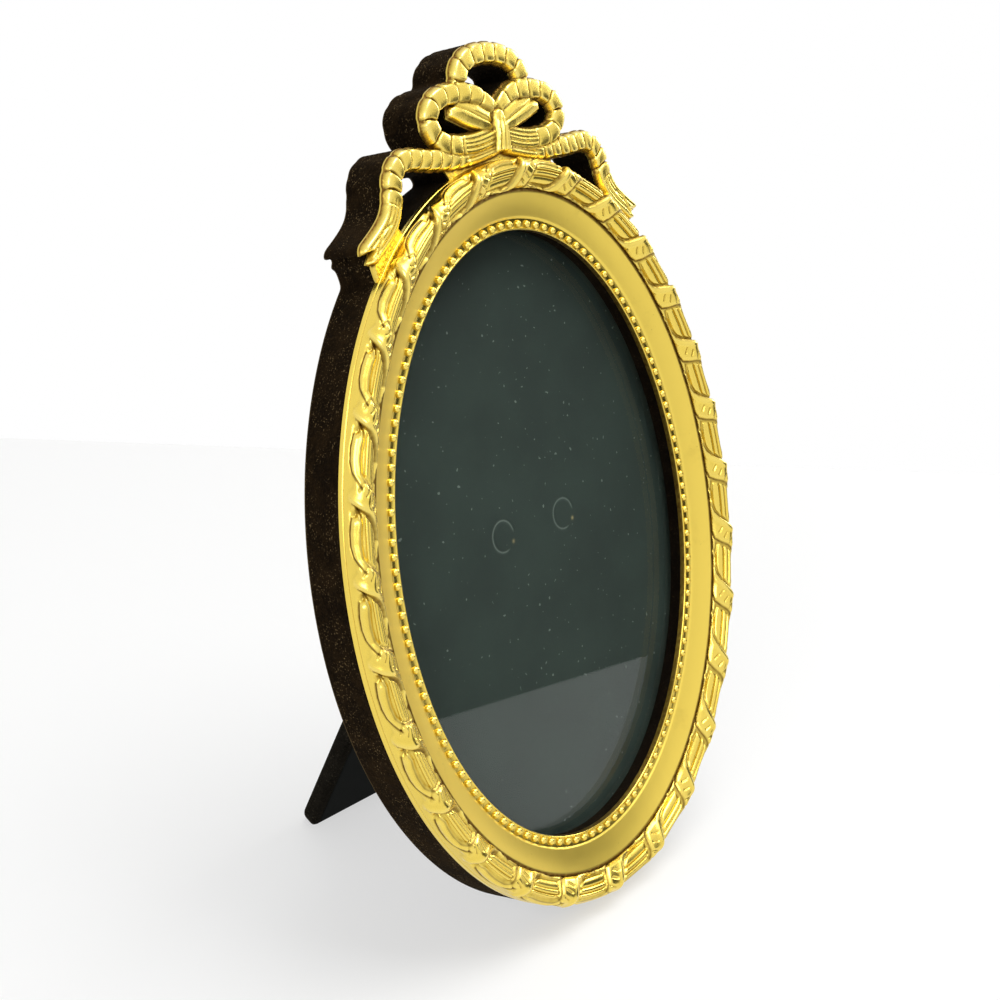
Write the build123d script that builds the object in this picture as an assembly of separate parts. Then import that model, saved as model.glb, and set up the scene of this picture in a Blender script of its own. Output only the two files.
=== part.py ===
from build123d import *
import os
from math import cos, sin, pi, radians, degrees, atan2

# Oval picture frame: a stamped brass front on a flocked wooden body, with an easel back.
# Each piece is drawn lying flat: x across, y up the oval, z out of the front, with z = 0
# where the brass meets the wood. The frame is then leaned back and stood on its foot.

# Stance
lean_angle = 15.0
leg_spread = 41.8

# Sight opening and oval border
sight_half_width = 43.8
sight_half_height = 60.0
border_width = 13.3
sheet = 0.5
lip_drop = 0.7
lip_height = 0.5
lip_width = 0.7
band_start = 2.9
band_start_height = 0.75
band_end = 7.55
band_end_height = 2.8
roll_height = 5.3
roll_steps = 6
hollow_steps = 3

# Bow crest: places are shares of the oval's outer half width and outer half height
crest_plate = 0.9
ribbon_width = 4.4
ribbon_rise = 1.3
ribbon_bevel = 0.9
tail_notch = 2.2
top_pleats = 10
side_pleats = 14
shoulder_pleats = 16
knot_half_width = 3.0
knot_height = 2.9
top_loop_shares = ((-0.165, 1.155), (-0.150, 1.222), (0.0, 1.268), (0.150, 1.222), (0.165, 1.155))
side_loop_shares = ((0.018, 1.125), (0.085, 1.162), (0.19, 1.172), (0.285, 1.155), (0.325, 1.115),
                    (0.300, 1.068), (0.22, 1.047), (0.10, 1.050), (0.018, 1.065))
shoulder_shares = ((0.03, 1.040), (0.15, 1.022), (0.27, 1.016), (0.40, 1.022), (0.475, 1.022),
                   (0.523, 0.992), (0.540, 0.945), (0.560, 0.900), (0.615, 0.855), (0.675, 0.822))
petal_shares = ((-0.02, 1.05), (0.076, 1.077), (0.195, 1.137), (0.19, 1.165), (-0.02, 1.125))
web_shares = ((-0.02, 0.94), (0.25, 0.94), (0.262, 0.97), (0.285, 0.995), (0.30, 1.03),
              (0.18, 1.055), (-0.02, 1.055))
tail_web_shares = ((0.56, 0.90), (0.68, 0.815), (0.655, 0.735), (0.50, 0.84))
knot_shares = ((0.0, 1.022), (0.0, 1.150))

# Wooden body, its cloth and the pane, card and board that it holds
body_depth = 8.7
nap = 0.4
ledge_depth = 3.6
rabbet_margin = 4.6
pane_clearance = 0.3
glass_thickness = 1.5
card_thickness = 0.5
board_clearance = 0.25

# Hinge of the easel leg
hinge_half_width = 14.0
leaf = 0.7
pin_radius = 0.8
pin_play = 0.05
knuckle_radius = 1.6
knuckle_half_length = 4.7
hinge_gap = 0.25
back_gap = 0.1
pin_height = -3.2
fixed_leaf_top = 7.4
leg_leaf_length = 11.0
stop_half_width = 3.5
stop_length = 3.4
stop_gap = 0.05
rivet_spread = 9.5
rivet_height = 2.5
rivet_radius = 1.2
rivet_head_radius = 3.1
rivet_head = 0.6
rivet_tail_radius = 2.0
leg_rivet_drop = 7.0

# Easel leg
leg_thickness = 4.0
leg_top_half_width = 31.5
leg_foot_half_width = 23.6
leg_top_gap = 2.4
leg_corner = 6.0
foot_corner = 4.0

# Turn buttons and their screws
button_angle = 40.0
button_thickness = 0.8
button_reach = 9.0
button_head_radius = 3.2
button_tip_radius = 2.2
button_play = 0.05
button_lift = 0.1
screw_radius = 1.0
screw_head_radius = 2.1
screw_head = 1.0
screw_length = 6.0

# One overrun serves every cut. Flat ovals, and small heads and rounded ends, have straight sides
overrun = 3.0
oval_sides = 52
round_sides = 12

# Worked out from the sizes above
outer_half_width = sight_half_width + border_width
outer_half_height = sight_half_height + border_width
board_margin = rabbet_margin - board_clearance
pane_margin = rabbet_margin - pane_clearance
back = -body_depth
wood_back = back + nap
card_front = -ledge_depth - glass_thickness
board_front = card_front - card_thickness
leaf_back = back - leaf
pin_depth = back - back_gap - knuckle_radius
leg_front = back - back_gap - leaf
leg_back = leg_front - leg_thickness
leg_top = pin_height - leg_top_gap
pin_line = Axis((0, pin_height, pin_depth), (1, 0, 0))


def floor_level():
    """How far the floor lies from the centre of the oval, square to the floor."""
    lean = radians(lean_angle)
    return outer_half_height * cos(lean) + body_depth * sin(lean)


def leg_length():
    """From the hinge pin to the end of the leg, so that its back edge meets the floor."""
    lean, tilt = radians(lean_angle), radians(leg_spread - lean_angle)
    pin_above = floor_level() + pin_height * cos(lean) + pin_depth * sin(lean)
    return (pin_above + (pin_depth - leg_back) * sin(tilt)) / cos(tilt)


def slab(face, low, high):
    """A flat outline given thickness between two heights."""
    return Pos(0, 0, low) * extrude(face, amount=high - low)


def oval(offset=0.0, height=0.0):
    """The oval line that lies offset outside the sight edge."""
    return Edge.make_ellipse(
        sight_half_width + offset, sight_half_height + offset, Plane.XY.offset(height))


def oval_face(offset=0.0):
    """The flat oval inside that line, drawn with straight sides that touch it from outside."""
    corner = 1 / cos(pi / oval_sides)
    points = []
    for side in range(oval_sides):
        turn = 2 * pi * (side + 1 / 2) / oval_sides
        across = corner * (sight_half_width + offset) * cos(turn)
        points.append((across, corner * (sight_half_height + offset) * sin(turn)))
    return make_face(Polyline(*points, close=True))


def oval_ring(section):
    """A closed ring whose cross section is a loop of (offset, height) points."""
    edges = [oval(offset, height) for offset, height in section]
    faces = [Face.make_surface_from_curves(a, b) for a, b in zip(edges, edges[1:] + edges[:1])]
    return Solid(Shell(faces))


def roll_section(inset, steps):
    """Points over the half-round roll of the border, drawn in by inset all over."""
    middle = (band_end + border_width) / 2
    radius = (border_width - band_end) / 2 - inset
    rise = roll_height - band_end_height / 2
    points = []
    for step in range(1, steps):
        turn = pi * step / steps
        base = band_end_height * (1 + cos(turn)) / 2
        points.append((middle - radius * cos(turn), base + rise * sin(turn) - inset))
    return points


def border_section():
    """Cross section of the border sheet: the outer skin, then the hollow side back again."""
    skin = [(0.0, -lip_drop), (0.0, lip_height), (lip_width, lip_height),
            (band_start, band_start_height), (band_end, band_end_height)]
    skin += roll_section(0.0, roll_steps) + [(border_width, 0.0)]
    hollow = [(border_width - sheet, 0.0)] + roll_section(sheet, hollow_steps)[::-1]
    hollow += [(band_end, band_end_height - sheet), (sheet, 0.0), (sheet, -lip_drop)]
    return skin + hollow


def crest_points(shares, side=1):
    """Places on the bow, from shares of the oval's outer half width and half height."""
    return [(side * across * outer_half_width, up * outer_half_height) for across, up in shares]


def ribbon(shares, side, pleats, width):
    """The flat outline of a ribbon: it follows a curve in short pleats."""
    curve = Spline(*crest_points(shares, side))
    return trace(Polyline(*[curve @ (step / pleats) for step in range(pleats + 1)]), width)


def ribbons(width):
    """All five ribbons of the bow: the top loop, the two side loops and the two long tails."""
    face = ribbon(top_loop_shares, 1, top_pleats, width)
    for side in (-1, 1):
        face += ribbon(side_loop_shares, side, side_pleats, width)
        face += ribbon(shoulder_shares, side, shoulder_pleats, width)
    return face


def tail_end(side, width):
    """The rounded end of a ribbon's tail."""
    return Pos(*crest_points(shoulder_shares, side)[-1]) * RegularPolygon(width / 2, round_sides)


def web(shares, side, grow):
    """A flat patch of sheet between the ribbons."""
    patch = make_face(Polyline(*crest_points(shares, side), close=True))
    return offset(patch, grow) if grow else patch


def knot_outline(grow=0.0):
    """The knot seen from the front."""
    low, high = crest_points(knot_shares)
    height = high[1] - low[1] + 2 * grow
    return Pos(0, (low[1] + high[1]) / 2) * RectangleRounded(
        2 * (knot_half_width + grow), height, knot_half_width / 2)


def bow_face(grow=0.0):
    """The pierced bow: loops, shoulders, tails, knot and the webs between them."""
    width = ribbon_width + 2 * grow
    face = ribbons(width) + knot_outline(grow)
    for side in (-1, 1):
        face += tail_end(side, width)
        for shares in (petal_shares, web_shares, tail_web_shares):
            face += web(shares, side, grow)
    return face


def front_outline(grow=0.0):
    """The filled oval with the pierced bow on top of it."""
    return oval_face(border_width + grow) + bow_face(grow)


def tail_notches():
    """The V cut out of each tail's end, which leaves two points."""
    cuts = []
    for side in (-1, 1):
        before, end = crest_points(shoulder_shares, side)[-2:]
        way = degrees(atan2(end[1] - before[1], end[0] - before[0]))
        reach = ribbon_width / 2 + overrun
        notch = Polyline((0, 0), (reach, reach / 2), (reach, -reach / 2), close=True)
        start = ribbon_width / 2 - tail_notch
        cuts.append(Pos(*end) * Rot(0, 0, way) * Pos(start, 0) * make_face(notch))
    return cuts[0] + cuts[1]


def ribbon_ridges():
    """The raised middles of the ribbons, and the knot that gathers them."""
    ridges = slab(ribbons(ribbon_width - 2 * ribbon_bevel), 0, crest_plate + ribbon_rise)
    return ridges + slab(knot_outline(), 0, knot_height)


def stamped_front():
    """The oval border and the bow crest, pressed from one brass sheet."""
    bow = slab(bow_face(), 0, crest_plate) + ribbon_ridges()
    bow -= slab(tail_notches(), -overrun, crest_plate + ribbon_rise + overrun)
    bow -= slab(oval_face(border_width - sheet), -overrun, knot_height + overrun)
    return bow + oval_ring(border_section())


def button_places():
    """Centre and inward direction of each turn button, on the middle of the back rim."""
    places = []
    offset_out = (rabbet_margin + border_width) / 2
    for side_x, side_y in ((1, 1), (-1, 1), (-1, -1), (1, -1)):
        turn = radians(button_angle)
        x = side_x * (sight_half_width + offset_out) * cos(turn)
        y = side_y * (sight_half_height + offset_out) * sin(turn)
        inward = degrees(atan2(-side_y * sin(turn) * (sight_half_width + offset_out),
                               -side_x * cos(turn) * (sight_half_height + offset_out)))
        places.append((x, y, inward))
    return places


def rod(x, y, radius, low, high):
    """A shank or a head square to the frame, with flat sides for a round."""
    return Pos(x, y, 0) * slab(RegularPolygon(radius, round_sides), low, high)


def screw_seat(x, y):
    """The space that a button's screw fills below its head."""
    head_seat = back - button_lift - button_thickness - button_play
    return rod(x, y, screw_radius, head_seat, head_seat + screw_length)


def body_core():
    """The wooden body: pierced crest, sight opening, and a rabbet cut from the back."""
    core = slab(front_outline(-nap), wood_back, 0)
    core -= slab(oval_face(sheet + nap), back - overrun, overrun)
    core -= slab(oval_face(rabbet_margin), back - overrun, -ledge_depth)
    for x, y, _ in button_places():
        core -= screw_seat(x, y)
    return core


def nap_face():
    """The edge cloth seen from the front: round the outside, and round each crest hole."""
    return front_outline() - front_outline(-nap)


def side_velvet():
    """The cloth round the outside of the body, over its whole depth."""
    strips = sorted(nap_face().faces(), key=lambda face: face.outer_wire().length)
    return slab(strips[-1], back, 0)


def hole_linings():
    """The cloth inside each hole of the crest."""
    strips = sorted(nap_face().faces(), key=lambda face: face.outer_wire().length)
    return Compound([slab(strip, back, 0) for strip in strips[:-1]])


def sight_velvet():
    """The cloth on the wall of the sight opening, behind the brass lip."""
    ring = slab(oval_face(sheet + nap), -ledge_depth, 0)
    return ring - slab(oval_face(sheet), -ledge_depth - overrun, overrun)


def rear_velvet():
    """The cloth on the back rim of the body."""
    rim = slab(front_outline(-nap), back, wood_back)
    rim -= slab(oval_face(rabbet_margin), back - overrun, overrun)
    for x, y, _ in button_places():
        rim -= screw_seat(x, y)
    return rim


def glass_pane():
    """The oval pane, against the ledge of the body."""
    return slab(oval_face(pane_margin), card_front, -ledge_depth)


def photo_card():
    """The dark card behind the glass, in the place of a photograph."""
    return slab(oval_face(pane_margin), board_front, card_front)


def back_board():
    """The board that closes the rabbet and carries the hinge."""
    board = slab(oval_face(board_margin), wood_back, board_front)
    for side in (-1, 1):
        x = side * rivet_spread
        board -= rod(x, rivet_height, rivet_radius, back - overrun, board_front + overrun)
        board -= rod(x, rivet_height, rivet_head_radius, board_front - rivet_head, board_front + overrun)
    return board


def back_velvet():
    """The black cloth on the back board."""
    cloth = slab(oval_face(board_margin), back, wood_back)
    for side in (-1, 1):
        cloth -= rod(side * rivet_spread, rivet_height, rivet_radius, back - overrun, overrun)
    return cloth


def pin_bar(radius, low, high):
    """A bar along the hinge line."""
    middle = (low + high) / 2
    return Pos(middle, pin_height, pin_depth) * Rot(0, 90, 0) * Cylinder(radius, high - low)


def plate(x_low, x_high, y_low, y_high, z_low, z_high):
    """A flat plate between stated sides."""
    size = (x_high - x_low, y_high - y_low, z_high - z_low)
    place = ((x_high + x_low) / 2, (y_high + y_low) / 2, (z_high + z_low) / 2)
    return Pos(*place) * Box(*size)


def fixed_leaf():
    """The hinge leaf on the board, with a knuckle at each side of the leg's."""
    inner = knuckle_half_length + hinge_gap
    body = plate(-hinge_half_width, hinge_half_width, pin_height, fixed_leaf_top, leaf_back, back)
    reach = pin_height + knuckle_radius + hinge_gap
    body -= plate(-inner, inner, pin_height - overrun, reach, leaf_back - overrun, back + overrun)
    for side in (-1, 1):
        low, high = sorted((side * inner, side * hinge_half_width))
        body += pin_bar(knuckle_radius, low, high)
        body += plate(low, high, pin_height - knuckle_radius / 2, pin_height, leaf_back, back - back_gap)
        body -= rod(side * rivet_spread, rivet_height, rivet_radius, back - overrun, overrun)
    return body - pin_bar(pin_radius, -hinge_half_width - overrun, hinge_half_width + overrun)


def hinge_pin():
    """The pin, held in the outer knuckles."""
    return pin_bar(pin_radius, -hinge_half_width, hinge_half_width)


def board_rivets():
    """The two rivets of the fixed leaf: their heads press up under the card."""
    rivets = []
    for side in (-1, 1):
        x = side * rivet_spread
        body = rod(x, rivet_height, rivet_radius, leaf_back, board_front)
        body += rod(x, rivet_height, rivet_head_radius, board_front - rivet_head, board_front)
        body += rod(x, rivet_height, rivet_tail_radius, leaf_back - rivet_head, leaf_back)
        rivets.append(body)
    return Compound(rivets)


def opened(shape):
    """A piece of the leg, swung from flat against the back out to its stop."""
    return shape.rotate(pin_line, leg_spread)


def leg_leaf():
    """The hinge leaf on the leg, with the lug that stops the leg when it is open."""
    inner = knuckle_half_length
    low = pin_height - leg_leaf_length
    body = plate(-hinge_half_width, hinge_half_width, low, pin_height - knuckle_radius - hinge_gap,
                 leg_front, back - back_gap)
    body += plate(-inner, inner, low, pin_height, leg_front, back - back_gap)
    body += pin_bar(knuckle_radius, -inner, inner)
    for side in (-1, 1):
        body -= leg_rivet_space(side)
    stop_front = leaf_back - stop_gap
    lug = plate(-stop_half_width, stop_half_width, pin_height, pin_height + stop_length,
                stop_front - leaf, stop_front)
    return opened(body) + lug - pin_bar(pin_radius + pin_play, -inner - overrun, inner + overrun)


def leg_rivet_space(side):
    """What a leg rivet fills: a sunk head at the leaf, a shank, and a flat head behind."""
    x, y = side * rivet_spread, pin_height - leg_rivet_drop
    sunk = loft([Pos(x, y, leg_front) * RegularPolygon(rivet_radius, round_sides),
                 Pos(x, y, leg_front + leaf) * RegularPolygon(rivet_tail_radius, round_sides)])
    shank = rod(x, y, rivet_radius, leg_back, leg_front)
    return sunk + shank + rod(x, y, rivet_head_radius, leg_back - rivet_head, leg_back)


def leg_rivets():
    """The two rivets that hold the leg to its leaf."""
    return Compound([opened(leg_rivet_space(side)) for side in (-1, 1)])


def leg_face(grow=0.0):
    """The leg seen from the front: narrower at the foot, with rounded corners."""
    foot = pin_height - leg_length()
    outline = Polyline(
        (-leg_top_half_width, leg_top), (leg_top_half_width, leg_top),
        (leg_foot_half_width, foot), (-leg_foot_half_width, foot), close=True)
    face = make_face(outline)
    if grow:
        face = offset(face, grow, kind=Kind.INTERSECTION)
    face = fillet(face.vertices().group_by(Axis.Y)[-1], leg_corner + grow)
    return fillet(face.vertices().group_by(Axis.Y)[0], foot_corner + grow)


def above_floor(shape, gap=0.0):
    """What is left of a piece above the floor, or above a gap over it."""
    ground = Plane((0, 0, gap - floor_level()))
    return split(stood(shape, 0, floor_level()), ground.offset(floor_level()), keep=Keep.TOP)


def stood(shape, back_shift=0.0, lift=0.0):
    """A piece leaned back with the frame, and moved to where the frame stands."""
    return Pos(0, back_shift, lift) * (Rot(90 - lean_angle, 0, 0) * shape)


def leg_pieces():
    """The leg's board, the cloth wrapped round it, and the lining of its front."""
    outer, inner = leg_face(), leg_face(-nap)
    whole = above_floor(opened(slab(outer, leg_back, leg_front)))
    board = above_floor(opened(slab(inner, leg_back + nap, leg_front - nap)), nap)
    front = above_floor(opened(slab(outer, leg_front - nap, leg_front)))
    wrap = whole - board - front
    rivets = [stood(opened(leg_rivet_space(side)), 0, floor_level()) for side in (-1, 1)]
    for rivet in rivets:
        board, front, wrap = board - rivet, front - rivet, wrap - rivet
    return board, wrap, front


def button_face():
    """A turn button from behind: a round head over the screw, drawn in to a tongue."""
    head = RegularPolygon(button_head_radius, round_sides)
    tip = RegularPolygon(button_tip_radius, round_sides)
    tongue = button_reach - button_tip_radius
    hole = RegularPolygon(screw_radius + button_play, round_sides, major_radius=False)
    return make_hull((head + Pos(tongue, 0) * tip).edges()) - hole


def turn_button(x, y, inward):
    """A turn button, pointing inward over the back board."""
    front = back - button_lift
    return Pos(x, y, 0) * Rot(0, 0, inward) * slab(button_face(), front - button_thickness, front)


def button_screw(x, y):
    """The round-head screw of a turn button."""
    seat = back - button_lift - button_thickness - button_play
    head = rod(x, y, screw_head_radius, seat - screw_head, seat)
    return chamfer(head.edges().group_by(Axis.Z)[0], screw_head / 2) + screw_seat(x, y)


def flat_pieces():
    """Every piece that is drawn lying flat, by name."""
    pieces = {
        "stamped_front": stamped_front(), "body_core": body_core(), "side_velvet": side_velvet(),
        "hole_linings": hole_linings(), "sight_velvet": sight_velvet(), "rear_velvet": rear_velvet(),
        "glass_pane": glass_pane(), "photo_card": photo_card(), "back_board": back_board(),
        "back_velvet": back_velvet(), "hinge_fixed_leaf": fixed_leaf(), "hinge_pin": hinge_pin(),
        "board_rivets": board_rivets(), "hinge_leg_leaf": leg_leaf(), "leg_rivets": leg_rivets(),
    }
    places = button_places()
    pieces["button_screws"] = Compound([button_screw(x, y) for x, y, _ in places])
    for number, place in enumerate(places, 1):
        pieces[f"turn_button_{number}"] = turn_button(*place)
    return pieces


def standing_pieces():
    """Every piece where it stands on the floor, with the middle of the whole at x = y = 0."""
    pieces = {name: stood(piece, 0, floor_level()) for name, piece in flat_pieces().items()}
    pieces["leg_board"], pieces["leg_wrap"], pieces["leg_lining"] = leg_pieces()
    box = Compound([solid for piece in pieces.values() for solid in piece.solids()]).bounding_box()
    shift = -(box.min.Y + box.max.Y) / 2
    return shift, {name: Pos(0, shift, 0) * piece for name, piece in pieces.items()}


def main():
    """Write each piece to its own file, and print the places that the joints need."""
    os.makedirs("parts", exist_ok=True)
    shift, pieces = standing_pieces()
    for name, piece in pieces.items():
        export_step(piece, f"parts/{name}.step")
    pin = stood(Pos(0, pin_height, pin_depth) * Vertex(0, 0, 0), shift, floor_level())
    print("hinge pin", pin.center())
    for number, (x, y, _) in enumerate(button_places(), 1):
        print("button", number, stood(Vertex(x, y, back), shift, floor_level()).center())


main()
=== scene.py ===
import logging
import math
from dataclasses import dataclass, field
from enum import Enum
from functools import partial
from typing import Callable, Sequence

import bpy
import numpy as np
from mathutils import Matrix, Vector


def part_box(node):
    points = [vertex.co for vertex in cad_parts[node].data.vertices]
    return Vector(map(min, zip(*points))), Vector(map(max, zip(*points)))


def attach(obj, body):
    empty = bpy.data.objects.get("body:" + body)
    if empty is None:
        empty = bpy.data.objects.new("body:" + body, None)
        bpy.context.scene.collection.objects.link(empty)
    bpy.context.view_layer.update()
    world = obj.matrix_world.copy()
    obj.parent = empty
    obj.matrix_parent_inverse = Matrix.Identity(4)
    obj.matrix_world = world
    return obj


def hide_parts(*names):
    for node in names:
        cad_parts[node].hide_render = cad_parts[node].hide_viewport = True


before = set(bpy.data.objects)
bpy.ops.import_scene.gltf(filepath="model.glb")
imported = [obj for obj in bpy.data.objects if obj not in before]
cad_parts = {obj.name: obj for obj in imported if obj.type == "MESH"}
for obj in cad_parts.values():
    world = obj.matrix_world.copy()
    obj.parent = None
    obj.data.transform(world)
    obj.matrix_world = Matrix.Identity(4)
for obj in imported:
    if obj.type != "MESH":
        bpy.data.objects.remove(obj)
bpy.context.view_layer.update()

# A small oval table frame: stamped brass front with a ribbon-wound border and a pierced bow,
# velvet-covered body, glass over a dark card, and an easel leg. Each piece is drawn lying flat in
# millimetres (u across, v up the oval, w out of the front) and is then leaned back with the frame.

Array = np.ndarray
Colour = tuple[float, float, float]
Pair = tuple[float, float]
Triple = tuple[float, float, float]
Line = Sequence[Pair]
Material = bpy.types.Material
Faces = list[list[int]]
MM = 0.001
MOST_RECESS = 1.2
FRONT_ACROSS: Pair = (-58.4, 58.5)
FRONT_UP: Pair = (-74.6, 95.5)
LOG = logging.getLogger("oval_frame")


class Body(Enum):
    """The bodies of the frame that a piece can ride on."""

    FRAME = "frame"
    LEG = "leg"


class Slot(Enum):
    """The material slots of the record."""

    BRASS = "brass"
    WOOD = "wood"
    BROWN_VELVET = "brown_velvet"
    BLACK_VELVET = "black_velvet"
    LEG_CLOTH = "leg_cloth"
    GLASS = "glass"
    CARD = "card"
    BOARD = "board"
    HINGE = "hinge_metal"
    BUTTON = "button_metal"


def smooth_step(value: Array) -> Array:
    """Ease a value from 0 to 1, and hold it outside that."""
    t = np.clip(value, 0.0, 1.0)
    return t * t * (3.0 - 2.0 * t)


def bell(value: Array) -> Array:
    """A round bump of height 1 about zero."""
    return np.exp(-value * value)


def rounding(inside: Array, radius: float) -> Array:
    """How far a rounded edge falls away, by the distance inside the outline."""
    short = radius - np.clip(inside, 0.0, radius)
    return radius - np.sqrt(np.maximum(radius * radius - short * short, 0.0))


def runs_along(line: Array) -> Array:
    """The run along a line up to each of its points."""
    return np.concatenate([[0.0], np.cumsum(np.hypot(*np.diff(line, axis=0).T))])


def drawn_again(line: Array, where: Array) -> Array:
    """Points of a line at given runs along it."""
    run = runs_along(line)
    return np.column_stack([np.interp(where, run, line[:, 0]), np.interp(where, run, line[:, 1])])


def blurred(grid: Array, times: int, wrap: bool = False) -> Array:
    """Smooth a grid of heights by averaging neighbours.

    Args:
        grid: heights in two directions.
        times: how many passes of averaging.
        wrap: whether the first direction joins up with itself.

    Returns:
        The smoothed grid.
    """
    out = grid.copy()
    for _ in range(times):
        if wrap:
            out = (np.roll(out, 1, 0) + 2 * out + np.roll(out, -1, 0)) / 4
        else:
            out[1:-1] = (out[:-2] + 2 * out[1:-1] + out[2:]) / 4
        out[:, 1:-1] = (out[:, :-2] + 2 * out[:, 1:-1] + out[:, 2:]) / 4
    return out


def inside_distance(u: Array, v: Array, corners: Line) -> Array:
    """Distance to the edge of a closed outline, positive inside it.

    Args:
        u: places across.
        v: places up.
        corners: the outline's corners in order.

    Returns:
        One signed distance for each place.
    """
    closed = [*corners, corners[0]]
    inside = np.zeros(u.shape, bool)
    for (au, av), (bu, bv) in zip(closed, closed[1:]):
        if bv != av:
            crosses = (av > v) != (bv > v)
            inside ^= crosses & (u < au + (v - av) * (bu - au) / (bv - av))
    gap = line_distance(u, v, closed)
    return np.where(inside, gap, -gap)


def line_distance(u: Array, v: Array, corners: Line) -> Array:
    """Distance from an open line of straight pieces.

    Args:
        u: places across.
        v: places up.
        corners: the line's corners in order.

    Returns:
        One distance for each place.
    """
    best = np.full(u.shape, np.inf)
    for (au, av), (bu, bv) in zip(corners, corners[1:]):
        du, dv = bu - au, bv - av
        share = np.clip(((u - au) * du + (v - av) * dv) / (du * du + dv * dv), 0.0, 1.0)
        best = np.minimum(best, np.hypot(u - au - share * du, v - av - share * dv))
    return best


def curve_through(corners: Line, count: int) -> Array:
    """Points along a smooth curve through given places.

    Args:
        corners: the places, in order.
        count: how many points to give.

    Returns:
        An array of points, evenly spread over the curve's parameter.
    """
    places = np.array(corners, float)
    knots = runs_along(places)
    gaps = np.diff(knots)
    size = len(places)
    matrix, target = np.eye(size), np.zeros((size, 2))
    for i in range(1, size - 1):
        matrix[i, i - 1:i + 2] = gaps[i - 1], 2 * (gaps[i - 1] + gaps[i]), gaps[i]
        slope = (places[i + 1] - places[i]) / gaps[i] - (places[i] - places[i - 1]) / gaps[i - 1]
        target[i] = 6 * slope
    bend = np.linalg.solve(matrix, target)
    where = np.linspace(0.0, knots[-1], count)
    at = np.clip(np.searchsorted(knots, where, side="right") - 1, 0, size - 2)
    gap = gaps[at][:, None]
    before = (knots[at + 1] - where)[:, None]
    after = (where - knots[at])[:, None]
    cubic = (bend[at] * before ** 3 + bend[at + 1] * after ** 3) / (6 * gap)
    start = (places[at] / gap - bend[at] * gap / 6) * before
    return cubic + start + (places[at + 1] / gap - bend[at + 1] * gap / 6) * after


@dataclass(frozen=True)
class Oval:
    """An upright oval about the centre of the opening."""

    half_width: float = 43.8
    half_height: float = 60.0

    def grown(self, offset: float) -> "Oval":
        """The oval that lies offset outside this one."""
        return Oval(self.half_width + offset, self.half_height + offset)

    def distance(self, u: Array, v: Array) -> Array:
        """Distance outside the oval, true close to its line.

        Args:
            u: places across.
            v: places up.

        Returns:
            One distance for each place, negative inside.
        """
        a, b = self.half_width, self.half_height
        slope = 2 * np.hypot(u / a ** 2, v / b ** 2) + 1e-9
        return ((u / a) ** 2 + (v / b) ** 2 - 1) / slope

    def speed(self, turns: Array) -> Array:
        """How fast the oval's line runs on, by its angle."""
        return np.hypot(self.half_width * np.sin(turns), self.half_height * np.cos(turns))

    def even_turns(self, count: int) -> Array:
        """Spread points evenly along the oval.

        Args:
            count: how many points.

        Returns:
            Their angles, counter-clockwise from the right.
        """
        turns = np.linspace(0.0, 2 * np.pi, 2881)
        speed = self.speed(turns)
        run = np.concatenate([[0.0], np.cumsum((speed[1:] + speed[:-1]) / 2 * np.diff(turns))])
        return np.interp(np.arange(count) / count * run[-1], run, turns)

    def length(self) -> float:
        """The length once round."""
        speed = self.speed(np.linspace(0.0, 2 * np.pi, 721)[:-1])
        return float(speed.mean() * 2 * np.pi)


@dataclass(frozen=True)
class Depths:
    """Where the layers lie, as heights out of the plane between brass and wood."""

    nap: float = 0.4
    body: float = 8.7
    ledge: float = 3.6
    glass: float = 1.5
    card: float = 0.5
    rabbet: float = 4.6
    sheet: float = 0.5

    @property
    def cloth_front(self) -> float:
        """The front of the velvet on the back, where the wood ends."""
        return self.nap - self.body

    @property
    def pane_middle(self) -> float:
        """The middle of the glass."""
        return -self.ledge - self.glass / 2

    @property
    def card_face(self) -> float:
        """The front of the card."""
        return -self.ledge - self.glass

    @property
    def card_back(self) -> float:
        """The back of the card, where the board begins."""
        return self.card_face - self.card


class Stance:
    """How the frame stands: it leans back about its own centre."""

    def __init__(self, depths: Depths, lean: float = 15.0) -> None:
        """Find the centre of the opening from the glass of the model.

        Args:
            depths: the layers of the frame.
            lean: how far the frame leans back, in degrees.
        """
        self.lean = math.radians(lean)
        low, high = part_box("glass_pane")
        middle = np.array((low + high) / 2)
        self.centre = middle - self.turned(np.array([[0.0, 0.0, depths.pane_middle]]))[0] * MM

    def turned(self, points: Array) -> Array:
        """Lean directions or points back with the frame.

        Args:
            points: across, up and out of the flat frame.

        Returns:
            The same in the scene.
        """
        u, v, w = np.asarray(points, float).T
        s, c = math.sin(self.lean), math.cos(self.lean)
        return np.stack([u, v * s - w * c, v * c + w * s], axis=1)

    def place(self, points: Array) -> Array:
        """Points of the flat frame, in millimetres, as places in the scene, in metres."""
        return self.turned(points) * MM + self.centre


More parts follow.
